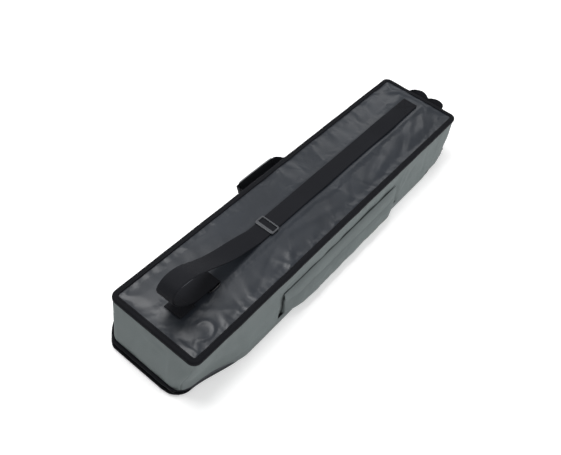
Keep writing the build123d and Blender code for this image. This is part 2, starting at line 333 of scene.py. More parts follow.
def oval(out_low, out_high, low, high, count=14, power=0.8):
    """Rounded section between two outward places and two heights."""
    angles = np.linspace(0, 2 * np.pi, count, endpoint=False)
    c, s = np.cos(angles), np.sin(angles)
    c, s = np.sign(c) * np.abs(c) ** power, np.sign(s) * np.abs(s) ** power
    return np.column_stack([
        (out_low + out_high) / 2 + c * (out_high - out_low) / 2,
        (low + high) / 2 + s * (high - low) / 2,
    ])


def stitch_row(name, path, up, pitch=3.4 * MM, thread=0.45 * MM, closed=False):
    """Row of sewn stitches: one short thread bump after another along a path."""
    path = np.asarray(path, float)
    if closed:
        path = np.vstack([path, path[:1]])
    steps = travelled(path)
    count = max(2, int(steps[-1] / pitch))
    middles = (np.arange(count) + 0.5) * steps[-1] / count
    centre, ahead, behind = (
        np.column_stack([np.interp(places, steps, path[:, k]) for k in range(3)])
        for places in (middles, middles + pitch / 3, middles - pitch / 3)
    )
    along = ahead - behind
    along /= np.linalg.norm(along, axis=1)[:, None]
    up = np.broadcast_to(np.asarray(up, float), centre.shape)
    side = np.cross(along, up)
    rings = [(-0.42, 0.25, -0.6), (-0.3, 0.8, 0.3), (0, 1.0, 0.6), (0.3, 0.8, 0.3), (0.42, 0.25, -0.6)]
    points, faces = [], []
    around = 6
    for i in range(count):
        base = len(points)
        for place, size, lift in rings:
            for k in range(around):
                a = 2 * math.pi * k / around
                points.append(
                    centre[i] + along[i] * place * pitch
                    + side[i] * math.cos(a) * thread * size
                    + up[i] * (math.sin(a) * thread * size + lift * thread)
                )
        for r in range(len(rings) - 1):
            for k in range(around):
                n = (k + 1) % around
                faces.append((base + r * around + k, base + r * around + n,
                              base + (r + 1) * around + n, base + (r + 1) * around + k))
        faces.append(tuple(base + k for k in range(around))[::-1])
        faces.append(tuple(base + (len(rings) - 1) * around + k for k in range(around)))
    return mesh_piece(name, points, faces)


def dress(piece, material, body, slot, *nodes):
    """Give a piece its material and its body, and hide the CAD nodes that it stands for; slot is not used."""
    piece.data.materials.clear()
    piece.data.materials.append(material)
    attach(piece, body)
    if nodes:
        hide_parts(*nodes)
    return piece


def dress_bending(piece, material, slot, near, far, start, end, *nodes):
    """Give a piece its material, hide the CAD nodes that it stands for and bake its place into its mesh; slot,
    near, far, start and end are not used.
    """
    piece.data.materials.append(material)
    if nodes:
        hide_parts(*nodes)
    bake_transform(piece)


# ---------------------------------------------------------------- materials
def srgb(red, green, blue):
    shares = [c / 255 for c in (red, green, blue)]
    return [((c + 0.055) / 1.055) ** 2.4 if c > 0.0405 else c / 12.92 for c in shares] + [1]


def material(
    name, colour, rough, mottle=0.12, grain=0.9 * MM, relief=0.08 * MM, weave=None, patch=0.11, **shader,
):
    """Procedural finish: mottled colour, a fine grain and, for cloth, threads in the piece's own plane.

    grain and patch are the sizes of the fine and the broad mottling, and relief is the depth of the grain.
    weave is (pitch along, pitch across, depth); shader holds constants of the Principled shader.
    """
    m = bpy.data.materials.new(name)
    m.use_nodes = True
    nodes, links = m.node_tree.nodes, m.node_tree.links
    surface = nodes["Principled BSDF"]
    surface.inputs["Roughness"].default_value = rough
    for key, value in shader.items():
        surface.inputs[key.replace("_", " ")].default_value = value

    def node(kind, **values):
        made = nodes.new(kind)
        for key, value in values.items():
            made.inputs[key].default_value = value
        return made

    place = node("ShaderNodeTexCoord")
    broad = node("ShaderNodeTexNoise", Scale=1 / patch, Detail=5)
    fine = node("ShaderNodeTexNoise", Scale=1 / grain, Detail=2)
    for texture in (broad, fine):
        links.new(place.outputs["Object"], texture.inputs["Vector"])
    blend = node("ShaderNodeMath")
    blend.operation = "MULTIPLY_ADD"
    blend.inputs[1].default_value = 0.45
    links.new(fine.outputs["Fac"], blend.inputs[0])
    share = node("ShaderNodeMath")
    share.operation = "MULTIPLY"
    share.inputs[1].default_value = 0.55
    links.new(broad.outputs["Fac"], share.inputs[0])
    links.new(share.outputs[0], blend.inputs[2])
    ramp = node("ShaderNodeValToRGB")
    for stop, at, factor in zip(ramp.color_ramp.elements, (0.25, 0.75), (1 - mottle, 1 + mottle)):
        stop.position = at
        stop.color = [min(1, c * factor) for c in colour[:3]] + [1]
    links.new(blend.outputs[0], ramp.inputs["Fac"])
    links.new(ramp.outputs["Color"], surface.inputs["Base Color"])
    bump = node("ShaderNodeBump", Strength=1, Distance=relief)
    links.new(fine.outputs["Fac"], bump.inputs["Height"])
    links.new(bump.outputs["Normal"], surface.inputs["Normal"])
    if weave:
        mesh = node("ShaderNodeMath")
        mesh.operation = "MAXIMUM"
        for k, pitch in enumerate(weave[:2]):
            wave = node("ShaderNodeTexWave", Scale=math.pi / 10 / pitch)
            wave.bands_direction = "XY"[k]
            links.new(place.outputs["UV"], wave.inputs["Vector"])
            links.new(wave.outputs["Fac"], mesh.inputs[k])
        woven = node("ShaderNodeBump", Strength=1, Distance=weave[2])
        links.new(mesh.outputs[0], woven.inputs["Height"])
        links.new(bump.outputs["Normal"], woven.inputs["Normal"])
        links.new(woven.outputs["Normal"], surface.inputs["Normal"])
    return m


def threads(along, across, depth):
    """A weave's pitches and depth, from millimetres."""
    return (along * MM, across * MM, depth * MM)


coated = material(
    "coated_fabric", srgb(35, 39, 45), 0.37, mottle=0.3, relief=0.06 * MM, patch=0.16, Specular_IOR_Level=0.34,
)
grey_fabric = material(
    "grey_polyester", srgb(105, 112, 112), 0.9, mottle=0.1, grain=1.1 * MM, relief=0.18 * MM,
    weave=threads(1.8, 1.8, 0.1), Specular_IOR_Level=0.25,
)
lining_cloth = material("lining_nylon", srgb(70, 73, 78), 0.6, mottle=0.08, weave=threads(2.4, 2.4, 0.08))
grosgrain = material(
    "grosgrain", srgb(15, 16, 20), 0.75, mottle=0.14, weave=threads(1.5, 9, 0.16), Specular_IOR_Level=0.1,
)
tape_cloth = material(
    "zip_tape", srgb(20, 21, 23), 0.8, mottle=0.1, weave=threads(1.2, 1.2, 0.06), Specular_IOR_Level=0.2,
)
teeth_plastic = material("zip_teeth", srgb(22, 22, 24), 0.32, mottle=0.05, relief=0.01 * MM)
zip_metal = material("zip_metal", srgb(60, 60, 64), 0.3, mottle=0.1, relief=0.02 * MM, Metallic=0.9)
webbing_cloth = material(
    "webbing", srgb(21, 22, 26), 0.8, mottle=0.16, weave=threads(2.2, 1.6, 0.14), Specular_IOR_Level=0.12,
)
# light-grey cloth for the cord on the grip's top edge: a painted highlight of the lit top edge, not a real piping
highlight_grey = material(
    "grip_painted_highlight_cloth", srgb(118, 120, 121), 0.8, mottle=0.1, weave=threads(2.6, 6, 0.5), Specular_IOR_Level=0.25,
)
thread_cloth = material("thread", srgb(10, 10, 12), 0.6, mottle=0.08, Specular_IOR_Level=0.3)
adjuster_plastic = material("adjuster_plastic", srgb(58, 60, 64), 0.34, mottle=0.05, relief=0.02 * MM)
ring_metal = material("ring_metal", srgb(18, 18, 20), 0.16, mottle=0.05, relief=0.005 * MM, Metallic=0.5)
touch_tape = material(
    "touch_tape", srgb(26, 27, 30), 0.95, mottle=0.2, grain=0.8 * MM, relief=0.5 * MM, Sheen_Weight=0.3,
)


# ---------------------------------------------------------------- folds of the soft fabric
def folds(along, inward, seed, start, end, spacing, reach, height, width, lean=0.35):
    """Short crinkles that run inward from an edge, at jittered places along it."""
    source = np.random.default_rng(seed)
    total = np.zeros(np.broadcast(along, inward).shape)
    place = start
    while place < end:
        tall = height * source.uniform(0.25, 1) * source.choice([1, 1, -0.8])
        long = reach * source.uniform(0.55, 1.25)
        wide = width * source.uniform(0.7, 1.4)
        tilt = source.normal(0, lean)
        bend = source.normal(0, 0.004)
        across = (along - place - tilt * inward - bend * np.sin(inward / long * 3)) / wide
        fade = np.exp(-((inward / long) ** 2) * 1.6) * smoothstep(-0.004, 0.006, inward)
        total += tall * np.exp(-across ** 2) * fade
        place += spacing * source.uniform(0.5, 1.5)
    return total


def dent(x, y, cx, cy, long, wide, angle, height):
    """One soft fold or hollow, long in the direction of the angle."""
    a = math.radians(angle)
    u = (x - cx) * math.cos(a) + (y - cy) * math.sin(a)
    v = (y - cy) * math.cos(a) - (x - cx) * math.sin(a)
    return height * np.exp(-((u / long) ** 2) - (v / wide) ** 2)


def dents(x, y, table):
    """Several folds, one for each row of a table."""
    return sum(dent(x, y, *row) for row in table)


def panel_edges(x, y):
    """Distances inward from the binding: on the pocket side, on the handle side, at the ends, and the least."""
    near_edge = y + PANEL_Y - BINDING
    far_edge = PANEL_Y - BINDING - y
    ends = PANEL_X - BINDING - np.abs(x)
    return near_edge, far_edge, ends, np.minimum(np.minimum(near_edge, far_edge), ends)


UNDER_STRAP = 4 * MM  # the pressed strip's middle lies this far beside the strap's
# rows of x, y, length, width (metres), angle (degrees), height (millimetres)
PANEL_FOLDS = [
    (0.52, -0.075, 0.11, 0.015, 24, 3.4), (0.44, -0.10, 0.09, 0.013, 17, -2.8),
    (0.585, -0.10, 0.075, 0.012, 38, 2.8), (0.30, -0.095, 0.10, 0.016, 12, 2.8),
    (-0.10, -0.075, 0.10, 0.016, -12, 2.4), (-0.33, -0.09, 0.08, 0.014, 20, -2.4),
    (0.697, -0.02, 0.10, 0.012, 94, 3.6), (0.665, 0.10, 0.07, 0.014, 140, 2.8),
]


def panel_height(x, y):
    """Height of the back panel's fabric: padded, pressed flat under the strap, crinkled by the binding."""
    near_edge, far_edge, ends, edge = panel_edges(x, y)
    puff = smoothstep(-0.004, 0.05, edge)
    pressed = np.exp(-((y - STRAP_Y + UNDER_STRAP) / 0.046) ** 4)
    pressed = pressed * smoothstep(-PANEL_X, -PANEL_X + 0.07, x) * (1 - smoothstep(0.675, 0.72, x))
    free = 1 - 0.9 * pressed
    broad = ripple(11, 0.26)(x, y * 1.4) * 1.1 + ripple(12, 0.09)(x, y) * 0.5
    lift = puff * (3.6 * free + broad * free)
    near_share = 0.45 + 0.55 * (1 - smoothstep(-0.15, 0.45, x))
    lift += near_share * folds(x, near_edge, 21, -0.70, 0.70, 0.046, 0.055, 3.4, 0.011)
    lift += near_share * folds(x, near_edge, 22, -0.69, 0.70, 0.085, 0.095, 3.4, 0.018, 0.6)
    lift += free * folds(x, far_edge, 23, -0.69, 0.69, 0.070, 0.060, 2.4, 0.016)
    lift += free * folds(y, PANEL_X - BINDING + x, 24, -0.13, 0.13, 0.060, 0.060, 1.6, 0.014)
    lift += free * folds(y, PANEL_X - BINDING - x, 25, -0.13, 0.13, 0.050, 0.080, 2.2, 0.015)
    from_ring = np.hypot((x + 0.634) / 1.25, y + 0.104)
    ring_fold = np.exp(-((from_ring - 0.026) / 0.006) ** 2)
    lift += 2.2 * ring_fold * smoothstep(-0.02, 0.02, x + 0.655 - y - 0.104)
    lift += dents(x, y, PANEL_FOLDS)
    # pillows between the strap and the binding: first on the handle side, then on the pocket side
    source = np.random.default_rng(27)
    for place in np.arange(-0.60, 0.68, 0.085):
        turn, tall = source.uniform(55, 95), source.uniform(1.6, 3.2) * source.choice([1, -1])
        far_share = 0.12 + 0.88 * smoothstep(-0.35, 0.05, place)
        lift += free * far_share * dent(x, y, place, 0.108, 0.05, 0.021, turn, tall)
    for place in np.arange(-0.55, 0.68, 0.11):
        turn, tall = source.uniform(15, 75), source.uniform(1.4, 2.8) * source.choice([1, -1])
        far_share = 0.35 + 0.65 * smoothstep(-0.35, 0.05, place)
        lift += free * far_share * dent(x, y, place, -0.098, 0.055, 0.017, turn, tall)
    roof = np.where(pressed > 0.05, np.minimum(lift, 1.0 + 6 * (1 - pressed) ** 2), lift)
    return TOP - 1.4 * MM + roof * MM


def disc_grid(half_x, low_y, high_y, radius, step):
    """Grid of plan points that fills a rectangle with round corners and keeps rows along its edges."""
    columns = int(2 * half_x / step) + 1
    rows = int((high_y - low_y) / step) + 1
    x = np.linspace(-half_x, half_x, columns)
    y = np.linspace(low_y, high_y, rows)
    x, y = np.meshgrid(x, y)
    middle = (low_y + high_y) / 2
    half_y = (high_y - low_y) / 2
    a = np.clip((np.abs(x) - half_x + radius) / radius, 0, 1)
    b = np.clip((np.abs(y - middle) - half_y + radius) / radius, 0, 1)
    inside = (a > 0) & (b > 0)
    new_a = a * np.sqrt(1 - b * b / 2)
    new_b = b * np.sqrt(1 - a * a / 2)
    x = np.where(inside, np.sign(x) * (half_x - radius + new_a * radius), x)
    y = np.where(inside, middle + np.sign(y - middle) * (half_y - radius + new_b * radius), y)
    return x, y


def border_order(rows, columns):
    """Indices of a grid's border, once round."""
    return (
        [(0, j) for j in range(columns)] + [(i, columns - 1) for i in range(1, rows)]
        + [(rows - 1, j) for j in range(columns - 2, -1, -1)] + [(i, 0) for i in range(rows - 2, 0, -1)]
    )


def slab_piece(name, x, y, top, rings):
    """Closed pad: a grid of top points, then loops (scale inward in metres, height) down to a flat base."""
    rows, columns = x.shape
    points = np.stack([x, y, top], -1).reshape(-1, 3)
    uv = np.stack([x, y], -1).reshape(-1, 2)
    faces = grid_faces(rows, columns)
    loop = [i * columns + j for i, j in border_order(rows, columns)]
    middle = (y.min() + y.max()) / 2
    edge = points[loop]
    out = edge[:, :2] - np.array([0, middle])
    box = np.array([x.max(), (y.max() - y.min()) / 2])
    all_points, all_uv, last = [points], [uv], loop
    for inward, z in rings:
        ring = edge.copy()
        ring[:, :2] = out * (1 - inward / box) + np.array([0, middle])
        ring[:, 2] = z
        start = sum(len(p) for p in all_points)
        now = list(range(start, start + len(loop)))
        n = len(loop)
        faces += [(last[k], now[k], now[(k + 1) % n], last[(k + 1) % n])[::-1] for k in range(n)]
        all_points.append(ring)
        all_uv.append(ring[:, :2])
        last = now
    faces.append(tuple(last)[::-1])
    return faces_out(mesh_piece(name, np.vstack(all_points), faces, np.vstack(all_uv)))


def settled(points, held, slack, longest, pressure, frames):
    """Cloth simulation of a grid of points: slack cloth, held where it is sewn, fills out and buckles.

    held and slack are weights from 0 to 1; cloth of slack 1 is longer than its place by the share longest.
    """
    rows, columns = points.shape[:2]
    cloth = mesh_piece("settling_cloth", points.reshape(-1, 3), grid_faces(rows, columns))
    for name, weights in (("held", held), ("slack", slack)):
        group = cloth.vertex_groups.new(name=name)
        levels = np.round(weights.ravel(), 2)
        for level in np.unique(levels):
            if level > 0:
                group.add([int(k) for k in np.where(levels == level)[0]], float(level), "REPLACE")
    modifier = cloth.modifiers.new("cloth", "CLOTH")
    fabric = modifier.settings
    fabric.quality = 6
    fabric.mass = 0.12
    fabric.tension_stiffness = 20
    fabric.compression_stiffness = 20
    fabric.shear_stiffness = 6
    fabric.bending_stiffness = 0.3
    fabric.air_damping = 2
    fabric.vertex_group_mass = "held"
    fabric.pin_stiffness = 8
    fabric.vertex_group_shrink = "slack"
    fabric.shrink_min = -0.001
    fabric.shrink_max = -longest
    fabric.use_pressure = True
    fabric.uniform_pressure_force = pressure
    fabric.effector_weights.gravity = 0
    modifier.point_cache.frame_start = 1
    modifier.point_cache.frame_end = frames
    for now in range(1, frames + 1):
        bpy.context.scene.frame_set(now)
    shown = cloth.evaluated_get(bpy.context.evaluated_depsgraph_get())
    result = np.zeros(rows * columns * 3, np.float32)
    shown.data.vertices.foreach_get("co", result)
    bpy.data.objects.remove(cloth)
    bpy.context.scene.frame_set(1)
    return result.reshape(rows, columns, 3).astype(float)


def finer(grid):
    """Twice as many rows and columns, with smooth places between."""
    for _ in range(2):
        grid = np.swapaxes(grid, 0, 1)
        pad = np.concatenate([grid[:1] * 2 - grid[1:2], grid, grid[-1:] * 2 - grid[-2:-1]])
        middle = (-pad[:-3] + 9 * pad[1:-2] + 9 * pad[2:-1] - pad[3:]) / 16
        both = np.empty((2 * len(grid) - 1,) + grid.shape[1:])
        both[::2], both[1::2] = grid, middle
        grid = both
    return grid


# ---------------------------------------------------------------- back panel
half_y = PANEL_Y - 0.5 * MM
x, y = disc_grid(PANEL_X - 0.5 * MM, -half_y, half_y, CORNER, 6 * MM)
flat = np.stack([x, y, panel_height(x, y)], -1)
near_edge, far_edge, ends, edge = panel_edges(x, y)
sewn = 1 - smoothstep(-0.006, 0.002, edge)
strapped = smoothstep(-0.046, -0.034, -np.abs(y - STRAP_Y + UNDER_STRAP)) * smoothstep(-0.51, -0.48, x)
strapped = strapped * (1 - smoothstep(0.665, 0.685, x))
sewn_patch = smoothstep(-0.044, -0.036, -np.abs(y + 0.004)) * smoothstep(-0.665, -0.655, x)
sewn_patch = sewn_patch * (1 - smoothstep(-0.59, -0.58, x))
held = np.clip(sewn + 0.9 * strapped + sewn_patch, 0, 1)
near_share = 0.35 + 0.65 * (1 - smoothstep(-0.25, 0.35, x))
slack = 0.15 + 0.85 * near_share * np.exp(-np.maximum(near_edge, 0) / 0.055)
slack = np.maximum(slack, 0.55 * np.exp(-np.maximum(far_edge, 0) / 0.05))
slack = np.maximum(slack, 0.6 * np.exp(-np.maximum(ends, 0) / 0.07))
slack = slack * (0.75 + 0.35 * ripple(26, 0.12)(x, y))
soft = settled(flat, held, np.clip(slack, 0, 1), longest=0.02, pressure=0.35, frames=26)
rise = np.clip(soft[..., 2] - flat[..., 2], -3.5 * MM, 8 * MM) * (1 - held)
flat[..., :2] = soft[..., :2]
flat[..., 2] += rise
flat = finer(flat)
x, y, top = flat[..., 0], flat[..., 1], flat[..., 2]
foam_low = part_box("back_panel_foam")[0]
inset, under = panel_low.x - foam_low.x, foam_low.z
rim = [(1 * MM, TOP - 1.9 * MM), (-inset, TOP - 1.7 * MM), (-inset - 0.3 * MM, TOP - 5 * MM)]
panel_cover = slab_piece("panel_cover", x, y, top, rim + [(-inset, under + 0.2 * MM)])
dress(panel_cover, coated, "shell", "coated", "back_panel_cover", "back_panel_foam")

low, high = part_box("back_panel_lining")
x, y = disc_grid(high.x, low.y, high.y, CORNER - 8 * MM, 9 * MM)
z = high.z - 0.2 * MM - 0.5 * MM * (1 + ripple(31, 0.12)(x, y) * 0.6)
panel_lining = grid_piece("panel_lining", np.stack([x, y, z], -1), np.stack([x, y], -1), thickness=0.5 * MM)
dress(panel_lining, lining_cloth, "shell", "lining", "back_panel_lining")

loop = rounded_loop(PANEL_X, -PANEL_Y, PANEL_Y, CORNER, 5 * MM)
# section of the binding in millimetres: outward of the panel's outline, and above the panel
section = [
    (-16, 0.1), (-16.3, 1.0), (-15, 1.9), (-9.6, 2.3), (-4, 2.2), (0.3, 1.5), (1.9, -0.1), (2.7, -2.4), (2.9, -6),
    (2.6, -10.5), (1.9, -12), (0.7, -11.6), (0.9, -6), (0.5, -1.6), (-8, -0.4),
]
section = [(out * MM, TOP + above * MM) for out, above in section]
panel_binding = band("panel_binding", loop, section, closed=True)
verts = panel_binding.data.vertices
co = np.array([v.co for v in verts])
wobble = ripple(41, 0.09)(co[:, 0], co[:, 1])
top_side = smoothstep(TOP - 3 * MM, TOP + 1 * MM, co[:, 2])
co[:, 2] += wobble * 0.45 * MM * top_side
co[:, 1] += ripple(42, 0.13)(co[:, 0], co[:, 1]) * 0.5 * MM * (1 - 0.5 * top_side)
verts.foreach_set("co", co.ravel())
dress(panel_binding, grosgrain, "shell", "grosgrain", "back_edge_binding")

seam_in = BINDING - 3 * MM
points, outward = rounded_loop(PANEL_X - seam_in, seam_in - PANEL_Y, PANEL_Y - seam_in, CORNER - seam_in)
path = np.column_stack([points, np.full(len(points), TOP + 2.2 * MM)])
binding_stitching = stitch_row("binding_stitching", path, (0, 0, 1), pitch=4.2 * MM, closed=True)
dress(binding_stitching, thread_cloth, "shell", "grosgrain")


# ---------------------------------------------------------------- walls
NEAR_END_OUT = 16 * MM
HANDLE_CORNER_IN = 20 * MM
POCKET_CORNER_IN = 33 * MM
LID_NEAR_IN, LID_FAR_IN = 10 * MM, 18 * MM


def in_use(piece, lid=False):
    """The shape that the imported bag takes: its near end stands out at the foot, and its corners draw in.

    The lid also draws in at both of its corners on the pocket side.
    """
    vertices = piece.data.vertices
    co = np.array([v.co for v in vertices])
    x, y, z = co.T.copy()
    foot = 1 - smoothstep(0.030, 0.175, z)
    drawn = POCKET_CORNER_IN * (1 - smoothstep(-0.72, -0.50, x))
    if lid:
        drawn = drawn + np.where(x > 0, LID_FAR_IN, LID_NEAR_IN) * smoothstep(0.56, 0.70, np.abs(x))
    co[:, 1] += foot * drawn * smoothstep(0.02, 0.17, -y)
    co[:, 1] -= foot * HANDLE_CORNER_IN * (1 - smoothstep(-0.740, -0.665, x)) * smoothstep(0.08, 0.17, y)
    co[:, 0] -= foot * NEAR_END_OUT * (1 - smoothstep(-0.72, -0.56, x))
    vertices.foreach_set("co", co.ravel())
    piece.data.update()
    return piece


wall_low, wall_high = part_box("pocket_side_wall")
FOOT, WALL_TOP = wall_low.z, wall_high.z
FLARE_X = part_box("far_end_wall")[1].x - PANEL_X
FLARE_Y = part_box("handle_side_wall")[1].y - PANEL_Y
# rows of place along the wall, height, length, width (metres), angle (degrees), depth (millimetres)
POCKET_SIDE_FOLDS = [
    (0.365, 0.112, 0.050, 0.008, 52, 3.4), (0.395, 0.098, 0.060, 0.009, 38, -3.0),
    (0.345, 0.130, 0.045, 0.007, 66, 2.8), (-0.385, 0.10, 0.050, 0.009, 128, 3.2),
    (-0.37, 0.13, 0.040, 0.007, 112, -2.6), (-0.55, 0.11, 0.07, 0.012, 100, -2.4),
    (0.52, 0.12, 0.06, 0.012, 80, -2.6), (0.60, 0.09, 0.06, 0.010, 70, 2.4),
    (0.10, 0.150, 0.16, 0.010, 3, 1.6), (-0.20, 0.145, 0.13, 0.010, -4, 1.6),
]
END_FOLDS = [
    (-0.09, 0.10, 0.05, 0.010, 75, 2.2), (0.05, 0.08, 0.06, 0.012, 100, -2.2), (-0.02, 0.14, 0.07, 0.009, 8, 1.8),
]


def pocket_free(x):
    """How far the pocket wall may bulge: 1 beside the pocket, 0 behind it and at the corners."""
    left = smoothstep(-0.66, -0.50, x) * (1 - smoothstep(pocket_low.x - 0.034, pocket_low.x - 0.006, x))
    right = smoothstep(pocket_high.x + 0.006, pocket_high.x + 0.034, x) * (1 - smoothstep(0.62, 0.71, x))
    return left + right


def wall_surface(x, y, foot_x, foot_y, nx, ny, z):
    """Outer face of the walls between the panel's outline and the one at the foot."""
    t = (TOP - z) / (TOP - FOOT)
    x, y = x + (foot_x - x) * t, y + (foot_y - y) * t
    full = np.sin(np.clip(t, 0, 1) * np.pi)
    side = np.clip(-ny, 0, 1) ** 3
    other = np.clip(ny, 0, 1) ** 3
    ends = np.abs(nx) ** 3
    free = pocket_free(x)
    calm = smoothstep(0.02, 0.16, t) * (1 - smoothstep(0.86, 0.98, t))
    out = full * MM * ((1.5 + 5 * (x > 0)) * ends + 2.0 * other + side * 3.0 * free)
    low_swell = 11 * smoothstep(0.45, 0.95, t) + 4 * np.exp(-((z - 0.092) / 0.022) ** 2)
    out = out + side * free * MM * low_swell
    out = out + calm * MM * (ripple(51, 0.13)(x + y, z * 1.5) * 1.3 + ripple(52, 0.055)(x + y, z) * 0.5)
    out = out + side * calm * MM * dents(x, z, POCKET_SIDE_FOLDS)
    out = out + ends * calm * MM * dents(y, z, END_FOLDS)
    # short gathers just below the binding
    crimp = smoothstep(-0.02, 0.06, t) * (1 - smoothstep(0.06, 0.22, t))
    out = out + crimp * MM * 1.2 * np.sin((x + y) / 0.0125 + 3 * ripple(53, 0.1)(x, y))
    return x + nx * out, y + ny * out


def wall_loop(step):
    """Outlines of panel and foot, cut at the middle of each corner: (points, foot, outward) for each side."""
    counts = (int(2 * PANEL_Y / step), int(2 * PANEL_X / step), 12)
    points, outward = rounded_loop(PANEL_X, -PANEL_Y, PANEL_Y, CORNER, counts=counts)
    half_y = PANEL_Y + FLARE_Y
    foot, _ = rounded_loop(PANEL_X + FLARE_X, -half_y, half_y, LID_CORNER, counts=counts)
    angle = np.degrees(np.arctan2(outward[:, 1], outward[:, 0]))
    runs = {}
    for side, middle in (("near_end", 180), ("handle_side", 90), ("far_end", 0), ("pocket_side", -90)):
        gap = (angle - middle + 180) % 360 - 180
        held = np.where(np.abs(gap) <= 46)[0]
        jump = np.where(np.diff(held) > 1)[0]
        if len(jump):
            held = np.roll(held, -(jump[0] + 1))
        runs[side] = (points[held], foot[held], outward[held])
    return runs


def wall_sheet(run, heights, inward, seam=0.0):
    """Grid of wall points at some heights, inward of the outer face; seam turns its two ends inward."""
    points, foot, outward = run
    zz = np.repeat(np.asarray(heights)[:, None], len(points), axis=1)
    x, y, foot_x, foot_y, nx, ny = (
        np.broadcast_to(column, zz.shape) for column in np.hstack([points, foot, outward]).T
    )
    sx, sy = wall_surface(x, y, foot_x, foot_y, nx, ny, zz)
    steps = travelled(points)
    near = np.minimum(steps, steps[-1] - steps)[None, :]
    back = inward + seam * np.exp(-(near / 0.0035) ** 2)
    grid = np.stack([sx - nx * back, sy - ny * back, zz], -1)
    uv = np.stack([np.broadcast_to(steps, zz.shape), zz], -1)
    return grid, uv


def closed_sheet(name, outer, inner, uv):
    """Closed pad between two grids of the same shape."""
    rows, columns = outer.shape[:2]
    count = rows * columns
    faces = grid_faces(rows, columns)
    faces += [tuple(k + count for k in face[::-1]) for face in grid_faces(rows, columns)]
    loop = [i * columns + j for i, j in border_order(rows, columns)]
    for a, b in zip(loop, loop[1:] + loop[:1]):
        faces.append((a + count, b + count, b, a))
    points = np.vstack([outer.reshape(-1, 3), inner.reshape(-1, 3)])
    return faces_out(mesh_piece(name, points, faces, np.vstack([uv.reshape(-1, 2)] * 2)))


runs = wall_loop(3.5 * MM)
coarse = wall_loop(9 * MM)
heights = np.linspace(FOOT, WALL_TOP - 0.6 * MM, 46)
for side, run in runs.items():
    outer, uv = wall_sheet(run, heights, 0, 0.7 * MM)
    inner, uv = wall_sheet(run, heights, 6.4 * MM)
    cover = in_use(closed_sheet(f"{side}_cover", outer, inner, uv))
    dress(cover, grey_fabric, "shell", "grey_fabric", f"{side}_wall", f"{side}_wall_foam")
    levels = np.linspace(FOOT + 0.5 * MM, WALL_TOP - 9.5 * MM, 18)
    outer, uv = wall_sheet(coarse[side], levels, 6.7 * MM)
    inner, uv = wall_sheet(coarse[side], levels, 7.4 * MM)
    skin = in_use(closed_sheet(f"{side}_inner_skin", outer, inner, uv))
    dress(skin, lining_cloth, "shell", "lining", f"{side}_wall_lining")

# ---------------------------------------------------------------- zip, piping and the lid's binding
ZIP_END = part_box("zip_end_tabs")[1].y + 0.2 * MM
ZIP_STOP = math.degrees(math.asin((LID_NEAR_Y + LID_CORNER - ZIP_END) / LID_CORNER))


def zip_loop(step, stop=ZIP_STOP):
    """The zip's line round three sides of the lid; it stops that many degrees into the other two corners."""
    return rounded_loop(LID_X, LID_NEAR_Y, LID_FAR_Y, LID_CORNER, step, stop)


low, high = piping_low.z, piping_high.z
section = oval(-0.5 * MM, 10.5 * MM, low - 0.8 * MM, high + 1.4 * MM)
shell_roll = in_use(band("shell_roll", zip_loop(4 * MM, 34), section, False, taper=0.07))
dress(shell_roll, grosgrain, "shell", "grosgrain", "shell_piping")
low, high = edge_low.z, edge_high.z
section = oval(-2 * MM, 12 * MM, low + 0.1 * MM, high + 0.8 * MM, 18, 0.75)
lid_roll = in_use(band("lid_roll", zip_loop(4 * MM, 84), section, False, taper=0.11), lid=True)
dress(lid_roll, grosgrain, "lid", "grosgrain", "lid_edge_binding")


def zip_tape(name, low, high, bend, low_out, high_out):
    """Half of the zip's tape between two heights, thickest at the bend; the outs are in millimetres."""
    section = [(0.2, low), (low_out, low), (1.7, bend), (high_out, high), (0.2, high), (0.4, bend)]
    return in_use(band(name, zip_loop(5 * MM), [(out * MM, z) for out, z in section], False))


low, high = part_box("shell_zip_tape")[0].z, piping_low.z + 1.5 * MM
shell_tape = zip_tape("shell_tape", low, high, low + 3 * MM, 1.5, 1.6)
dress(shell_tape, tape_cloth, "shell", "zip_tape", "shell_zip_tape")
low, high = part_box("lid_zip_tape")[0].z - 2 * MM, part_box("lid_zip_tape")[1].z
lid_tape = zip_tape("lid_tape", low, high, high - 3 * MM, 1.6, 1.5)
dress(lid_tape, tape_cloth, "lid", "zip_tape", "lid_zip_tape")


def teeth_row(name, low, high, shift):
    """Row of moulded zip teeth with round tops that stand out of the tape; shift is a share of their pitch."""
    points, outward = zip_loop(1 * MM)
    steps = travelled(points)
    pitch = 3.2 * MM
    places = np.arange(4 * MM + shift * pitch, steps[-1] - 4 * MM, pitch)
    cx, cy = (np.interp(places, steps, points[:, k]) for k in (0, 1))
    ox, oy = (np.interp(places, steps, outward[:, k]) for k in (0, 1))
    size = np.hypot(ox, oy)
    ox, oy = ox / size, oy / size
    half = 0.95 * MM
    middle = (low + high) / 2
    rings = [(0.3, 0.75), (1.2, 1.0), (3.4, 1.0), (4.3, 0.8), (4.6, 0.35)]
    outline = [(-1, -0.6), (-0.6, -1), (0.6, -1), (1, -0.6), (1, 0.6), (0.6, 1), (-0.6, 1), (-1, 0.6)]
    around = len(outline)
    all_points, faces = [], []
    for k in range(len(places)):
        base = len(all_points)
        for out, share in rings:
            for a, h in outline:
                all_points.append((
                    cx[k] + ox[k] * out * MM - oy[k] * a * half * share,
                    cy[k] + oy[k] * out * MM + ox[k] * a * half * share,
                    middle + h * share * (high - low) / 2,
                ))
        for r in range(len(rings) - 1):
            for j in range(around):
                n = (j + 1) % around
                a, b = base + r * around, base + (r + 1) * around
                faces.append((a + j, b + j, b + n, a + n))
        faces.append(tuple(base + j for j in range(around)))
        faces.append(tuple(base + (len(rings) - 1) * around + j for j in range(around))[::-1])
    return faces_out(mesh_piece(name, all_points, faces))


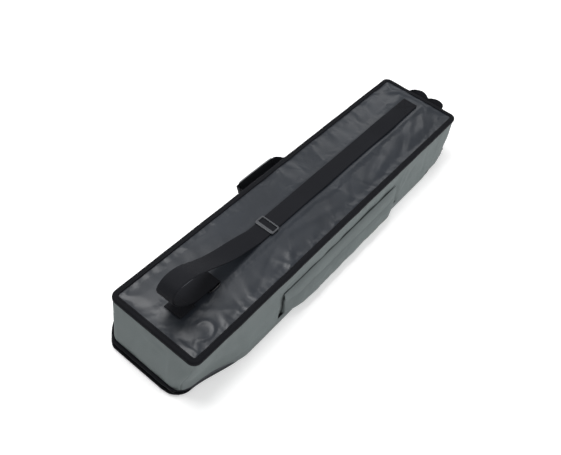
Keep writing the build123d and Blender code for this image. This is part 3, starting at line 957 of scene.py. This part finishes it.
low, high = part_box("shell_zip_teeth")
shell_teeth = in_use(teeth_row("shell_teeth", low.z, high.z, 0.0))
dress(shell_teeth, teeth_plastic, "shell", "zip_teeth", "shell_zip_teeth")
low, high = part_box("lid_zip_teeth")
lid_teeth = in_use(teeth_row("lid_teeth", low.z, high.z, 0.5))
dress(lid_teeth, teeth_plastic, "lid", "zip_teeth", "lid_zip_teeth")


def rounded_block(name, low, high, bevel, segments=3):
    """Box with rounded edges."""
    low, high = Vector(low), Vector(high)
    bm = bmesh.new()
    bmesh.ops.create_cube(bm, size=1)
    bmesh.ops.scale(bm, vec=high - low, verts=bm.verts)
    bmesh.ops.translate(bm, vec=(low + high) / 2, verts=bm.verts)
    bmesh.ops.bevel(bm, geom=bm.edges[:], offset=bevel, segments=segments, profile=0.5, affect="EDGES")
    return bmesh_piece(name, bm, smooth=True)


def joined(name, pieces):
    """One mesh made of several; the first piece keeps its place."""
    bm = bmesh.new()
    for piece in pieces:
        bm.from_mesh(piece.data)
        bpy.data.objects.remove(piece)
    return bmesh_piece(name, bm)


def arc_tab(side):
    """Small stop sewn over the end of the zip, bent round the lid's corner."""
    low, high = 9.5 * MM, SPLIT + 0.4 * MM
    rows = []
    section = [(0.3, low), (3.6, low), (4.2, (low + high) / 2), (3.6, high), (0.3, high)]
    cx, cy = side * (LID_X - LID_CORNER), LID_NEAR_Y + LID_CORNER
    for a in np.radians(np.linspace(18, 34, 9)):
        reach = [(LID_CORNER + out * MM, z) for out, z in section]
        rows.append([(cx + side * far * math.cos(a), cy - far * math.sin(a), z) for far, z in reach])
    rows = np.array(rows)
    return tube_piece("tab", rows, rows[..., 1:])


tabs = in_use(joined("zip_tabs", [arc_tab(-1), arc_tab(1)]))
dress(tabs, grosgrain, "lid", "grosgrain", "zip_end_tabs")

# ---------------------------------------------------------------- lid
lid_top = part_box("lid_foam")[1].z
x, y = disc_grid(LID_X - 3 * MM, LID_NEAR_Y + 3 * MM, LID_FAR_Y - 3 * MM, LID_CORNER - 3 * MM, 8 * MM)
edge = from_edge(x, y, LID_X, LID_NEAR_Y, LID_FAR_Y)
lid_middle = (LID_NEAR_Y + LID_FAR_Y) / 2
top = lid_top - 1.2 * MM * (1 - smoothstep(0.003, 0.03, edge)) - 0.5 * MM
rim = [
    (-0.2 * MM, lid_top - 2.4 * MM), (0.9 * MM, lid_top * 0.55), (1.2 * MM, lid_top * 0.3), (0.6 * MM, 0.8 * MM),
    (-1.2 * MM, 0.0),
]
lid_pad = slab_piece("lid_pad", x, y - lid_middle, top, rim)
lid_pad.data.transform(Matrix.Translation((0, lid_middle, 0)))
in_use(lid_pad, lid=True)
dress(lid_pad, coated, "lid", "coated", "lid_cover", "lid_foam")
low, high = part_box("lid_lining")
x, y = disc_grid(high.x, low.y, high.y, LID_CORNER - 5 * MM, 9 * MM)
edge = from_edge(x, y, high.x, low.y, high.y)
z = high.z + 0.9 * MM * smoothstep(0.0, 0.03, edge) * (0.6 + 0.4 * ripple(61, 0.14)(x, y))
z = z - 1.0 * MM * (1 - smoothstep(0.0, 0.02, edge))
lid_skin = grid_piece("lid_skin", np.stack([x, y, z], -1), np.stack([x, y], -1), thickness=0.5 * MM)
in_use(lid_skin, lid=True)
dress(lid_skin, lining_cloth, "lid", "lining", "lid_lining")

low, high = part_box("hinge_strip")
HINGE_PAST = 0.046  # the visual hinge is this much longer at each end, to meet the zip's ends
hinge_x = np.linspace(low.x - HINGE_PAST, high.x + HINGE_PAST, 170)
hinge_in = LID_FAR_IN * smoothstep(0.52, 0.66, np.abs(hinge_x))
# rows of place inward and height, in millimetres
profile = [
    (-0.2, 1.2), (-1.1, 3.0), (-1.5, 5), (-1.2, 8), (-0.6, 11), (0.0, 14), (0.2, 17), (0.4, 20), (1.2, 23),
    (2.6, 26),
]
rows = []
for inward, z in profile:
    wave = 0.6 * ripple(62, 0.08)(hinge_x, z / 100) * math.sin(math.pi * z / 30)
    hinge_y = low.y + hinge_in + (inward + wave - 0.4) * MM
    rows.append(np.column_stack([hinge_x, hinge_y, np.full(len(hinge_x), z * MM)]))
hinge_grid = np.array(rows)
uv = np.stack([hinge_grid[..., 0], hinge_grid[..., 2]], -1)
hinge_cloth = in_use(grid_piece("hinge_cloth", hinge_grid, uv, thickness=1.2 * MM, flip=True))
dress_bending(
    hinge_cloth, grey_fabric, "grey_fabric", "lid", "shell",
    (0, low.y, 10 * MM), (0, low.y, 21 * MM), "hinge_strip",
)

# ---------------------------------------------------------------- shoulder strap
adjuster_low, adjuster_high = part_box("strap_adjuster")
ring_low, ring_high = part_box("strap_ring")
patch_low, patch_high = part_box("strap_anchor_patch")
tab_low, tab_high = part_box("ring_tab")
ANCHOR_Y = (ring_low.y + ring_high.y) / 2 - 5 * MM
UPPER = (strap_low.z + strap_high.z) / 2
THICK = strap_high.z - strap_low.z
ADJUSTER_X = (adjuster_low.x + adjuster_high.x) / 2
ADJUSTER_Y = (adjuster_low.y + adjuster_high.y) / 2 + STRAP_SHIFT
FLAT_TO = -0.275  # the strap's run along the panel ends here, and it starts to rise into its loop


def raised(place):
    """How far the strap stands off the panel, as a share, with its tops at two places along it."""
    return np.exp(-((place - 0.46) / 0.075) ** 2) + 0.6 * np.exp(-((place - 0.07) / 0.07) ** 2)


upper = [(place, raised(place)) for place in np.linspace(FLAT_TO, 0.58, 22)]
upper += [(0.62, 0.0), (0.66, 0.0), (strap_high.x, 0.0)]
upper_rows = [(x, STRAP_Y - 3 * MM * lift, UPPER + 6.5 * MM * lift, -8 * lift) for x, lift in upper[::-1]]

# the strap from its slide round the loop to the ring: place along in metres, height above the panel in
# millimetres, roll in degrees
ARCH = [
    (-0.292, 7.0, -2), (-0.310, 12.5, -4), (-0.345, 22, -7), (-0.390, 33.5, -8), (-0.440, 49.5, 0),
    (-0.490, 74, 9), (-0.540, 103, 10), (-0.585, 130, 7), (-0.615, 142, 5), (-0.640, 145.5, 5),
    (-0.660, 142, 7), (-0.674, 130, 6), (-0.680, 114, 4), (-0.676, 95, 2), (-0.664, 74, 1),
    (-0.646, 54, 0), (-0.620, 33, 0),
]
TURN = 12  # the row of ARCH after which the strap is in line with the ring
LAYER_GAP = 2.8 * MM
RING_END_Y = (ring_low.y + ring_high.y) / 2 - 6 * MM
arch_rows = []
for k, (x, height, roll) in enumerate(ARCH):
    drawn = 1 if k > TURN else smoothstep(0.42, 0.67, -x)
    arch_rows.append((x, STRAP_Y + (RING_END_Y - STRAP_Y) * drawn, TOP + height * MM, roll))
run_low = [(-0.592, 19.5), (-0.565, 13.8), (-0.540, 11.8), (-0.520, 11)]
run_rows = [(x, RING_END_Y, TOP + height * MM, 0) for x, height in run_low]


def layer(rows):
    """Path and across directions of rows of (x, y, z, roll)."""
    angles = [math.radians(row[3]) for row in rows]
    return [row[:3] for row in rows], [(0, math.cos(a), -math.sin(a)) for a in angles]


def inside(rows):
    """The same rows, one layer further in towards the middle of the loop."""
    flat = np.array([(row[0], row[2]) for row in rows])
    step = tangents(flat)
    moved = flat + np.column_stack([-step[:, 1], step[:, 0]]) * LAYER_GAP
    return [(m[0], row[1], m[1], row[3]) for m, row in zip(moved, rows)]


path, across = layer(upper_rows + arch_rows)
strap = webbing("strap", path, STRAP_WIDE, THICK, across=across, step=3 * MM)
dress(strap, webbing_cloth, "shell", "webbing", "shoulder_strap", "strap_loop")
inner_rows = inside(arch_rows + run_rows)
path, across = layer(inner_rows[1:len(arch_rows)])
strap_inner = webbing("strap_inner_layer", path, STRAP_WIDE - 1 * MM, THICK, across=across, step=3 * MM)
dress(strap_inner, webbing_cloth, "shell", "webbing")

RING_ROD = 2.5 * MM
ring_bar = (ring_high.x - RING_ROD, TOP + 6.8 * MM)
wrap_rows = [(-0.508, RING_END_Y, TOP + 7.2 * MM, 0), (-0.498, RING_END_Y, TOP + 4.0 * MM, 0)]
WRAP = 3.7 * MM
for angle in np.radians(np.linspace(-90, 90, 7)):
    wrap_rows.append((ring_bar[0] + WRAP * math.cos(angle), RING_END_Y, ring_bar[1] + WRAP * math.sin(angle), 0))
wrap_rows += [(-0.500, RING_END_Y, TOP + 11.6 * MM, 0), (-0.515, RING_END_Y, TOP + 13.6 * MM, 0)]
path, across = layer(arch_rows[-1:] + run_rows + wrap_rows + inner_rows[len(arch_rows) - 1:-1][::-1])
fold = webbing("strap_fold", path, STRAP_WIDE - 0.5 * MM, THICK, across=across, step=2 * MM)
dress_bending(fold, webbing_cloth, "webbing", "shell", "ring", (-0.605, 0, TOP), (-0.520, 0, TOP))

low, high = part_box("strap_end_patch")
shift_low, shift_high = Vector((0, 6 * MM, 0)), Vector((0, 4 * MM, 0))
end_pad = rounded_block("strap_end_pad", low + shift_low, high + shift_high, 0.8 * MM)
dress(end_pad, webbing_cloth, "shell", "webbing", "strap_end_patch")


def box_stitching(name, low_x, high_x, low_y, high_y, z, pitch=3.6 * MM):
    """Sewn box with a cross, as threads just above a height."""
    corners = [(low_x, low_y), (high_x, low_y), (high_x, high_y), (low_x, high_y)]
    lines = [(corners[i], corners[(i + 1) % 4]) for i in range(4)]
    lines += [(corners[0], corners[2]), (corners[1], corners[3])]
    rows = []
    for k, (a, b) in enumerate(lines):
        t = np.linspace(0, 1, 24)[:, None]
        height = z + (k > 3) * 0.3 * MM
        path = np.column_stack([np.array(a) * (1 - t) + np.array(b) * t, np.full(24, height)])
        rows.append(stitch_row(f"row_{k}", path, (0, 0, 1), pitch, 0.55 * MM))
    return joined(name, rows)


box_half = 26 * MM
end_stitching = box_stitching(
    "strap_end_stitching", strap_high.x - 76 * MM, strap_high.x - 4 * MM, STRAP_Y - box_half, STRAP_Y + box_half,
    UPPER + THICK / 2 + 0.25 * MM,
)
dress(end_stitching, thread_cloth, "shell", "webbing")

low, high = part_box("strap_lower_layer")
lower_z = (low.z + high.z) / 2
path = [(place, STRAP_Y, lower_z) for place in (ARCH[0][0], -0.26, high.x)]
lower_band = webbing("strap_lower_band", path, STRAP_WIDE, high.z - low.z)
dress(lower_band, webbing_cloth, "adjuster", "webbing", "strap_lower_layer")


def adjuster_mesh():
    """Frame of the three-bar slide: wide near bar, thin far bar and deep side rails."""
    low, high = adjuster_low, adjuster_high
    bar_z = high.z - 3 * MM
    half_x, half_y = (high.x - low.x) / 2, (high.y - low.y) / 2
    slot_y = STRAP_WIDE / 2 + 0.6 * MM
    outer = rounded_rectangle(-half_x, half_x, -half_y, half_y, 6 * MM, 16)
    inner = rounded_rectangle(-half_x + 11 * MM, half_x - 5 * MM, -slot_y, slot_y, 2.5 * MM, 16)
    bm = bmesh.new()
    loops = []
    for ring, top, edge in ((outer, -0.9, 0), (outer, 0.0, 1), (inner, 0.0, 1), (inner, -0.9, 0)):
        middle = ring * (1 - edge * (0.9 * MM / half_y) * (1 if ring is outer else -1))
        loops.append([bm.verts.new((p[0], p[1], high.z + top * MM)) for p in middle])
    lows = []
    for ring in (inner, outer):
        side = smoothstep(STRAP_WIDE / 2 + 0.2 * MM, STRAP_WIDE / 2 + 0.9 * MM, np.abs(ring[:, 1]))
        depth = side * (1 - smoothstep(half_x - 8 * MM, half_x - 1 * MM, np.abs(ring[:, 0])))
        z = bar_z - depth * (bar_z - low.z - 0.2 * MM)
        lows.append([bm.verts.new((p[0], p[1], h)) for p, h in zip(ring, z)])
    loops += lows
    n = len(loops[0])
    for a, b in zip(loops, loops[1:] + loops[:1]):
        for k in range(n):
            bm.faces.new((a[k], a[(k + 1) % n], b[(k + 1) % n], b[k]))
    bmesh.ops.recalc_face_normals(bm, faces=bm.faces)
    return bmesh_piece("adjuster_frame", bm, smooth=True)


frame_part = adjuster_mesh()
bar_half = (adjuster_high.y - adjuster_low.y) / 2 - 1 * MM
bar_low = (-3 * MM, -bar_half, adjuster_low.z + 0.1 * MM)
bar = rounded_block("bar", bar_low, (3 * MM, bar_half, strap_low.z - 0.4 * MM), 1.2 * MM)
slide = joined("adjuster_slide", [frame_part, bar])
slide.data.transform(Matrix.Translation((ADJUSTER_X, ADJUSTER_Y, 0)))
bevel = slide.modifiers.new("soft_edges", "BEVEL")
bevel.width = 0.35 * MM
bevel.segments = 2
bevel.limit_method = "ANGLE"
applied(slide)
dress(slide, adjuster_plastic, "adjuster", "adjuster_plastic", "strap_adjuster")

rod = (ring_high.y - ring_low.y) / 2 - RING_ROD
bar_a = np.array([ring_low.x + RING_ROD, TOP + 4.4 * MM])
bar_b = np.array(ring_bar)
half = np.linalg.norm(bar_b - bar_a) / 2
outline = rounded_rectangle(-half, half, -rod, rod, 7 * MM, 9)
dense = []
for a, b in zip(outline, np.roll(outline, -1, 0)):
    n = max(1, int(np.linalg.norm(np.subtract(b, a)) / (4 * MM)))
    dense += [np.add(a, np.subtract(b, a) * t) for t in np.linspace(0, 1, n, endpoint=False)]
dense = np.array(dense)
dense = dense[np.linalg.norm(dense - np.roll(dense, 1, 0), axis=1) > 1e-6]
lean = (bar_b - bar_a) / np.linalg.norm(bar_b - bar_a)
centre = (bar_a + bar_b) / 2
ring_path = np.column_stack([
    centre[0] + lean[0] * dense[:, 0], ANCHOR_Y + dense[:, 1], centre[1] + lean[1] * dense[:, 0],
])
along = tangents(ring_path, closed=True)
normal = np.tile((-lean[1], 0, lean[0]), (len(ring_path), 1))
ring = swept_piece("loop_ring", ring_path, np.cross(along, normal), normal, round_section(RING_ROD, 14), True)
dress(ring, ring_metal, "ring", "ring_metal", "strap_ring")

z_low, z_high = tab_low.z + 0.6 * MM, tab_high.z - 0.6 * MM
x_end = tab_high.x - 0.6 * MM
middle, reach = (z_low + z_high) / 2, (z_high - z_low) / 2
curve = [
    (x_end - reach + reach * math.sin(a), ANCHOR_Y, middle - reach * math.cos(a))
    for a in np.linspace(0, math.pi, 9)
]
tab_path = [(patch_high.x + 0.3 * MM, ANCHOR_Y, z_low), (patch_high.x + 20 * MM, ANCHOR_Y, z_low)] + curve
tab_path += [
    (tab_high.x - 20 * MM, ANCHOR_Y, z_high - 0.4 * MM), (tab_high.x - 25.5 * MM, ANCHOR_Y, z_high - 0.8 * MM),
]
tab = webbing("ring_holder", tab_path, tab_high.y - tab_low.y, 1.2 * MM, step=2 * MM)
dress(tab, webbing_cloth, "shell", "webbing", "ring_tab")

patch_shift = Vector((0, 4 * MM, 0))
patch_low, patch_high = patch_low - patch_shift, patch_high - patch_shift
anchor = rounded_block("anchor_pad", patch_low, patch_high, 0.9 * MM)
dress(anchor, webbing_cloth, "shell", "webbing", "strap_anchor_patch")
hem = 5 * MM
anchor_stitching = box_stitching(
    "anchor_stitching", patch_low.x + hem, patch_high.x - hem, patch_low.y + hem, patch_high.y - hem,
    patch_high.z + 0.2 * MM,
)
dress(anchor_stitching, thread_cloth, "shell", "webbing")

# ---------------------------------------------------------------- handles
handle_low, handle_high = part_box("side_handle_webbing")
HANDLE_X = (handle_low.x + handle_high.x) / 2
HANDLE_Z = (handle_low.z + handle_high.z) / 2
HANDLE_HALF = (handle_high.x - handle_low.x) / 2
wide = handle_high.z - handle_low.z
hinge_y = handle_low.y + 0.9 * MM
out_y = handle_high.y - 1.2 * MM
# shares of the handle's half length, and of its reach out of the wall
u = [-1.0, -0.985, -0.945, -0.90, -0.82, -0.5, 0, 0.5, 0.82, 0.90, 0.945, 0.985, 1.0]
v = [0.02, 0.15, 0.62, 0.92, 1.0, 1.0, 0.99, 1.0, 1.0, 0.92, 0.62, 0.15, 0.02]
reach = out_y - hinge_y - 6.5 * MM
PATCH_REACH = 26 * MM  # how far the handles' ends run under their patches
path = [(HANDLE_X - HANDLE_HALF - PATCH_REACH, hinge_y - 1.4 * MM, HANDLE_Z)]
path += [(HANDLE_X + a * HANDLE_HALF, hinge_y + b * reach, HANDLE_Z - 12 * MM * b) for a, b in zip(u, v)]
path += [(HANDLE_X + HANDLE_HALF + PATCH_REACH, hinge_y - 1.4 * MM, HANDLE_Z)]
lean = [(0, 0.42 * b, 1 - 0.1 * b) for b in [0, *v, 0]]
side_strap = webbing("side_strap", path, wide + 3 * MM, 2.4 * MM, across=lean)
dress_bending(
    side_strap, webbing_cloth, "webbing", "shell", "side_handle",
    (0, hinge_y - 1 * MM, HANDLE_Z), (0, hinge_y + 9 * MM, HANDLE_Z), "side_handle_webbing",
)

low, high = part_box("side_handle_grip")
sleeve = [
    (x, out_y - 4.9 * MM - 1.5 * MM * abs((x - HANDLE_X) / (high.x - HANDLE_X)) ** 4, HANDLE_Z - 11 * MM)
    for x in np.linspace(low.x, high.x, 11)
]
path = smooth_path(sleeve, 4 * MM)
along = tangents(path)
grip_up = np.array([0, 0.42, 0.9]) / math.hypot(0.42, 0.9)
up = np.tile(grip_up, (len(path), 1))
side = np.cross(up, along)
ends = np.minimum(np.arange(len(path)), np.arange(len(path))[::-1]) / 2
shrink = np.sqrt(np.clip(ends + 0.3, 0, 1))
turn = np.linspace(0, 2 * np.pi, 28, endpoint=False)
c, s = np.cos(turn), np.sin(turn)
section = np.column_stack([
    np.copysign(np.abs(c) ** 0.7, c) * 2.9 * MM, np.copysign(np.abs(s) ** 0.5, s) * (wide / 2 + 2.4 * MM),
])
body = path[:, None] + side[:, None] * (section[None, :, :1] * shrink[:, None, None])
body = body + up[:, None] * section[None, :, 1:]
grip = tube_piece("grip_sleeve", body, tube_uv(body, path[:, 0], section[:, 1]))
dress(grip, grosgrain, "side_handle", "grosgrain", "side_handle_grip")
# light-grey cord along the grip's top edge: a painted highlight where light falls on the top edge
top_edge = wide / 2 + 3.2 * MM
cord = path[1:-1] + grip_up * top_edge
up = np.tile((0, 0, 1.0), (len(cord), 1))
painted_highlight_rib = swept_piece("grip_painted_highlight", cord, np.cross(up, tangents(cord)), up, round_section(2.1 * MM, 10))
dress(painted_highlight_rib, highlight_grey, "side_handle", "grey_fabric")


def patch_pair(name, node, axis):
    """The two sewn patches of a handle, as thin rounded pads against the wall."""
    low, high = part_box(node)
    a, b = low.copy(), high.copy()
    b[axis] = low[axis] + 40 * MM
    a[axis] = high[axis] - 40 * MM
    return joined(name, [rounded_block("patch", low, b, 0.7 * MM), rounded_block("patch", a, high, 0.7 * MM)])


side_pads = patch_pair("side_handle_pads", "side_handle_patches", 0)
dress(side_pads, webbing_cloth, "shell", "webbing", "side_handle_patches")

end_low, end_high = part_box("end_handle_webbing")
END_Y = (end_low.y + end_high.y) / 2
END_Z = (end_low.z + end_high.z) / 2
END_HALF = (end_high.y - end_low.y) / 2
wide = end_high.z - end_low.z
hinge_x = end_low.x + 0.9 * MM
out_x = end_high.x - 1.2 * MM
# the same for the end handle, then its height in millimetres and its lean in degrees, which make two humps
u = [-1.0, -0.95, -0.85, -0.68, -0.45, -0.2, 0, 0.15, 0.38, 0.60, 0.82, 0.95, 1.0]
v = [0.02, 0.12, 0.35, 0.52, 0.55, 0.50, 0.44, 0.50, 0.58, 0.50, 0.34, 0.12, 0.02]
h = [0, 0, 2, 5, 5, -1, -8, -3, 5, 5, 2, 0, 0]
tilt = [0, 6, 22, 32, 30, 26, 26, 28, 34, 30, 18, 6, 0]
path = [(hinge_x - 1.2 * MM, END_Y - END_HALF - PATCH_REACH, END_Z)]
path += [(hinge_x + b * (out_x - hinge_x), END_Y + a * END_HALF, END_Z + c * MM) for a, b, c in zip(u, v, h)]
path += [(hinge_x - 1.2 * MM, END_Y + END_HALF + PATCH_REACH, END_Z)]
lean = [(math.sin(math.radians(a)), 0, math.cos(math.radians(a))) for a in [0, *tilt, 0]]
end_strap = webbing("end_strap", path, wide - 2 * MM, 2.4 * MM, across=lean)
dress_bending(
    end_strap, webbing_cloth, "webbing", "shell", "end_handle",
    (hinge_x - 1 * MM, 0, END_Z), (hinge_x + 9 * MM, 0, END_Z), "end_handle_webbing",
)
end_pads = patch_pair("end_handle_pads", "end_handle_patches", 1)
dress(end_pads, webbing_cloth, "shell", "webbing", "end_handle_patches")

# ---------------------------------------------------------------- flap pocket
P0, P1 = pocket_low.x, pocket_high.x
BACK = 172.5  # millimetres from the middle to the pocket's back
HEM_LOW, HEM_HIGH = 27, 98  # millimetres above the floor
STEPS_ALONG = 150


def curtain(rows, across):
    """Grid of points and its texture plane from rows of (y, z) that run along a pocket or its flap."""
    grid = np.array([np.column_stack([across, y, np.full(len(across), z)]) for y, z in rows])
    return grid, np.stack([grid[..., 0], grid[..., 2]], -1)


across = np.linspace(P0, P1, STEPS_ALONG)
end_share = smoothstep(0, 0.10, across - P0) * smoothstep(0, 0.10, P1 - across)
swell = 0.30 + 0.70 * np.sqrt(end_share)
profile = smooth_path([
    (-173.5, 27.5), (-186, 25.5), (-199, 27), (-206, 36), (-206, 47), (-198, 64), (-187, 79), (-180.5, 89),
    (-177.5, 98),
], 3.5)
rows = []
for py, pz in profile:
    out = (-py - BACK) * MM * swell
    t = (pz - HEM_LOW) / (HEM_HIGH - HEM_LOW)
    body_share = math.sin(math.pi * min(max(t, 0), 1))
    waves = ripple(81, 0.10)(across, pz / 400) * 2.2 + ripple(82, 0.045)(across, pz / 300) * 0.9
    low_folds = folds(across, (pz - HEM_LOW) * MM, 83, P0, P1, 0.030, 0.030, 1.8, 0.008, 0.3)
    high_folds = folds(across, (HEM_HIGH - pz) * MM, 84, P0, P1, 0.036, 0.030, 1.6, 0.009, 0.4)
    out = out + body_share * MM * end_share * waves
    out = out + body_share * MM * (low_folds + high_folds)
    rows.append((-BACK * MM - np.maximum(out, 0.6 * MM), pz * MM))
grid, uv = curtain(rows, across)
pocket_front = grid_piece("pocket_front", grid, uv, thickness=1.4 * MM, flip=True)
dress(pocket_front, grey_fabric, "shell", "grey_fabric", "pocket_panel")

ends = []
for x, sign in ((P0 + 1.2 * MM, 1), (P1 - 1.2 * MM, -1)):
    column = grid[:, 0 if sign > 0 else -1]
    front = np.stack([column * [0, 1, 1] + [x, 1.2 * MM, 0], column * [0, 0, 1] + [x, -171.6 * MM, 0]], 0)
    back = front + [sign * 1.4 * MM, 0, 0]
    ends.append(closed_sheet("gusset", front, back, front[..., 1:]))
gussets = joined("pocket_gussets", ends)
dress(gussets, grey_fabric, "shell", "grey_fabric", "pocket_end_gussets")

FLAP_ROOT, FLAP_TOP, FLAP_DROP = 169.3, 118.4, 34.4  # millimetres: out of the middle, height, fall
across = np.linspace(P0 + 0.5 * MM, P1 - 0.5 * MM, STEPS_ALONG)
profile = smooth_path([(-169.3, 118.4), (-174, 114.5), (-180, 108), (-184.2, 99), (-186.6, 90), (-187.6, 84)], 2.5)
end_share = smoothstep(0, 0.07, across - P0) * smoothstep(0, 0.07, P1 - across)
rows = []
for py, pz in profile:
    t = (FLAP_TOP - pz) / FLAP_DROP
    out = (-py - FLAP_ROOT) * MM * (0.42 + 0.58 * end_share)
    out = out + t * MM * (ripple(91, 0.16)(across, 0.0) * 0.7 + ripple(92, 0.05)(across, 0.0) * 0.25)
    rows.append((-FLAP_ROOT * MM - np.maximum(out, 0), pz * MM))
grid, uv = curtain(rows, across)
flap = grid_piece("flap", grid, uv, thickness=1.3 * MM, flip=True)
dress(flap, grey_fabric, "flap", "grey_fabric", "pocket_flap")
TAPE_SHORT = 75 * MM  # the touch tapes stop this far from the flap's ends
for name, node, body in (("hook_tape", "flap_hook_strip", "flap"), ("loop_tape", "panel_loop_strip", "shell")):
    low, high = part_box(node)
    tape_x = np.linspace(P0 + TAPE_SHORT, P1 - TAPE_SHORT, 80)
    a = np.column_stack([tape_x, np.full(80, low.y + 0.2 * MM), np.full(80, low.z)])
    b = a + [0, high.y - low.y - 1.4 * MM, high.z - low.z]
    steps = np.linspace(0, 1, 5)[:, None, None]
    front = a[None] * (1 - steps) + b[None] * steps
    tape = closed_sheet(name, front, front + [0, 1.0 * MM, 0], np.stack([front[..., 0], front[..., 2]], -1))
    dress(tape, touch_tape, body, "touch_tape", node)

# ---------------------------------------------------------------- zip sliders and pulls
for name, s in (("a", -1), ("b", 1)):
    low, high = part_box(f"zip_slider_{name}")
    face = rounded_block("face", (low.x, high.y - 7 * MM, low.z), (high.x, high.y - 4.6 * MM, high.z), 1 * MM)
    hook_high = (high.x - 1 * MM, high.y - 5 * MM, low.z + 2 * MM)
    hook = rounded_block("hook", (low.x + 1 * MM, low.y, low.z), hook_high, 0.6 * MM)
    middle = (low.x + high.x) / 2
    lugs = [
        rounded_block("lug", (middle - 1.4 * MM, high.y - 4.8 * MM, SPLIT + dz - 0.8 * MM),
                      (middle + 1.4 * MM, high.y, SPLIT + dz + 0.8 * MM), 0.3 * MM, 2)
        for dz in (-3.4 * MM, 3.4 * MM)
    ]
    bm = bmesh.new()
    bmesh.ops.create_cone(
        bm, cap_ends=True, segments=16, radius1=0.9 * MM, radius2=0.9 * MM, depth=6.8 * MM,
        matrix=Matrix.Translation((middle, high.y - 1.1 * MM, SPLIT)),
    )
    slider = joined(f"slider_{name}", [face, hook, *lugs, bmesh_piece("pin", bm)])
    dress(slider, zip_metal, f"zip_slider_{name}", "zip_metal", f"zip_slider_{name}")

    low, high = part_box(f"zip_pull_{name}")
    pin_x, pin_y = middle, (low.y + high.y) / 2
    eye = np.array([(pin_x + a, pin_y + b, SPLIT) for a, b in round_section(2.15 * MM, 24)])
    tangent = tangents(eye, closed=True)
    up = np.tile((0, 0, 1.0), (len(eye), 1))
    section = oval(-0.7 * MM, 0.7 * MM, -2.1 * MM, 2.1 * MM, 12)
    parts = [swept_piece("eye", eye, np.cross(tangent, up), up, section, True)]
    # near end, far end, half thickness, half height and bevel, in millimetres
    for part, near, far, thick, tall, bevel in (("stem", 2.2, 10, 1.0, 1.8, 0.6), ("blade", 8.6, 30, 1.1, 4, 1.0)):
        x0, x1 = sorted((pin_x + s * near * MM, pin_x + s * far * MM))
        part_low = (x0, pin_y - thick * MM, SPLIT - tall * MM)
        parts.append(rounded_block(part, part_low, (x1, pin_y + thick * MM, SPLIT + tall * MM), bevel * MM))
    pull = joined(f"pull_{name}", parts)
    dress(pull, zip_metal, f"zip_pull_{name}", "zip_metal", f"zip_pull_{name}")

# ---------------------------------------------------------------- floor, light and camera
bpy.ops.mesh.primitive_plane_add(size=14, location=(0, 0, -0.4 * MM))
floor = bpy.context.object
floor.name = "floor"
paper = bpy.data.materials.new("floor_paper")
paper.use_nodes = True
surface = paper.node_tree.nodes["Principled BSDF"]
surface.inputs["Base Color"].default_value = (0.86, 0.86, 0.86, 1)
surface.inputs["Roughness"].default_value = 0.9
surface.inputs["Emission Color"].default_value = (1, 1, 1, 1)
surface.inputs["Emission Strength"].default_value = 0.28
floor.data.materials.append(paper)

world = bpy.data.worlds.new("studio")
bpy.context.scene.world = world
world.use_nodes = True
background = world.node_tree.nodes["Background"]
background.inputs["Color"].default_value = (1, 1, 1, 1)
background.inputs["Strength"].default_value = 0.42


def lamp(name, place, target, size, energy):
    """Rectangular lamp at a place, turned to a target; its energy is in watts."""
    data = bpy.data.lights.new(name, "AREA")
    data.shape = "RECTANGLE"
    data.size, data.size_y = size
    data.energy = energy
    light = new_object(name, data)
    light.location = place
    light.rotation_euler = (Vector(target) - Vector(place)).to_track_quat("-Z", "Y").to_euler()


lamp("key", (1.3, -2.6, 2.1), (0, 0, 0.1), (1.8, 1.2), 46)
lamp("top", (-0.3, 0.8, 2.8), (-0.05, 0, 0), (1.6, 1.2), 60)
lamp("back", (0.6, 2.8, 1.6), (0, 0, 0.1), (2.6, 0.9), 30)
lamp("side", (-3.0, 0.6, 1.4), (0, 0, 0.1), (1.6, 1.0), 6)
lamp("far", (3.3, 1.5, 2.3), (0.3, 0, 0.1), (1.0, 1.6), 13)

camera_data = bpy.data.cameras.new("camera")
camera_data.lens = 42.72  # fitted to the photo's outline, like the matrix below
camera_data.sensor_width = 36
camera = new_object("camera", camera_data)
camera.matrix_world = Matrix((
    (0.6180, 0.5421, -0.5694, -1.3853),
    (-0.7753, 0.5405, -0.3268, -0.7078),
    (0.1307, 0.6434, 0.7543, 1.7623),
    (0, 0, 0, 1),
))
bpy.context.scene.camera = camera
bpy.context.scene.view_settings.view_transform = "Standard"
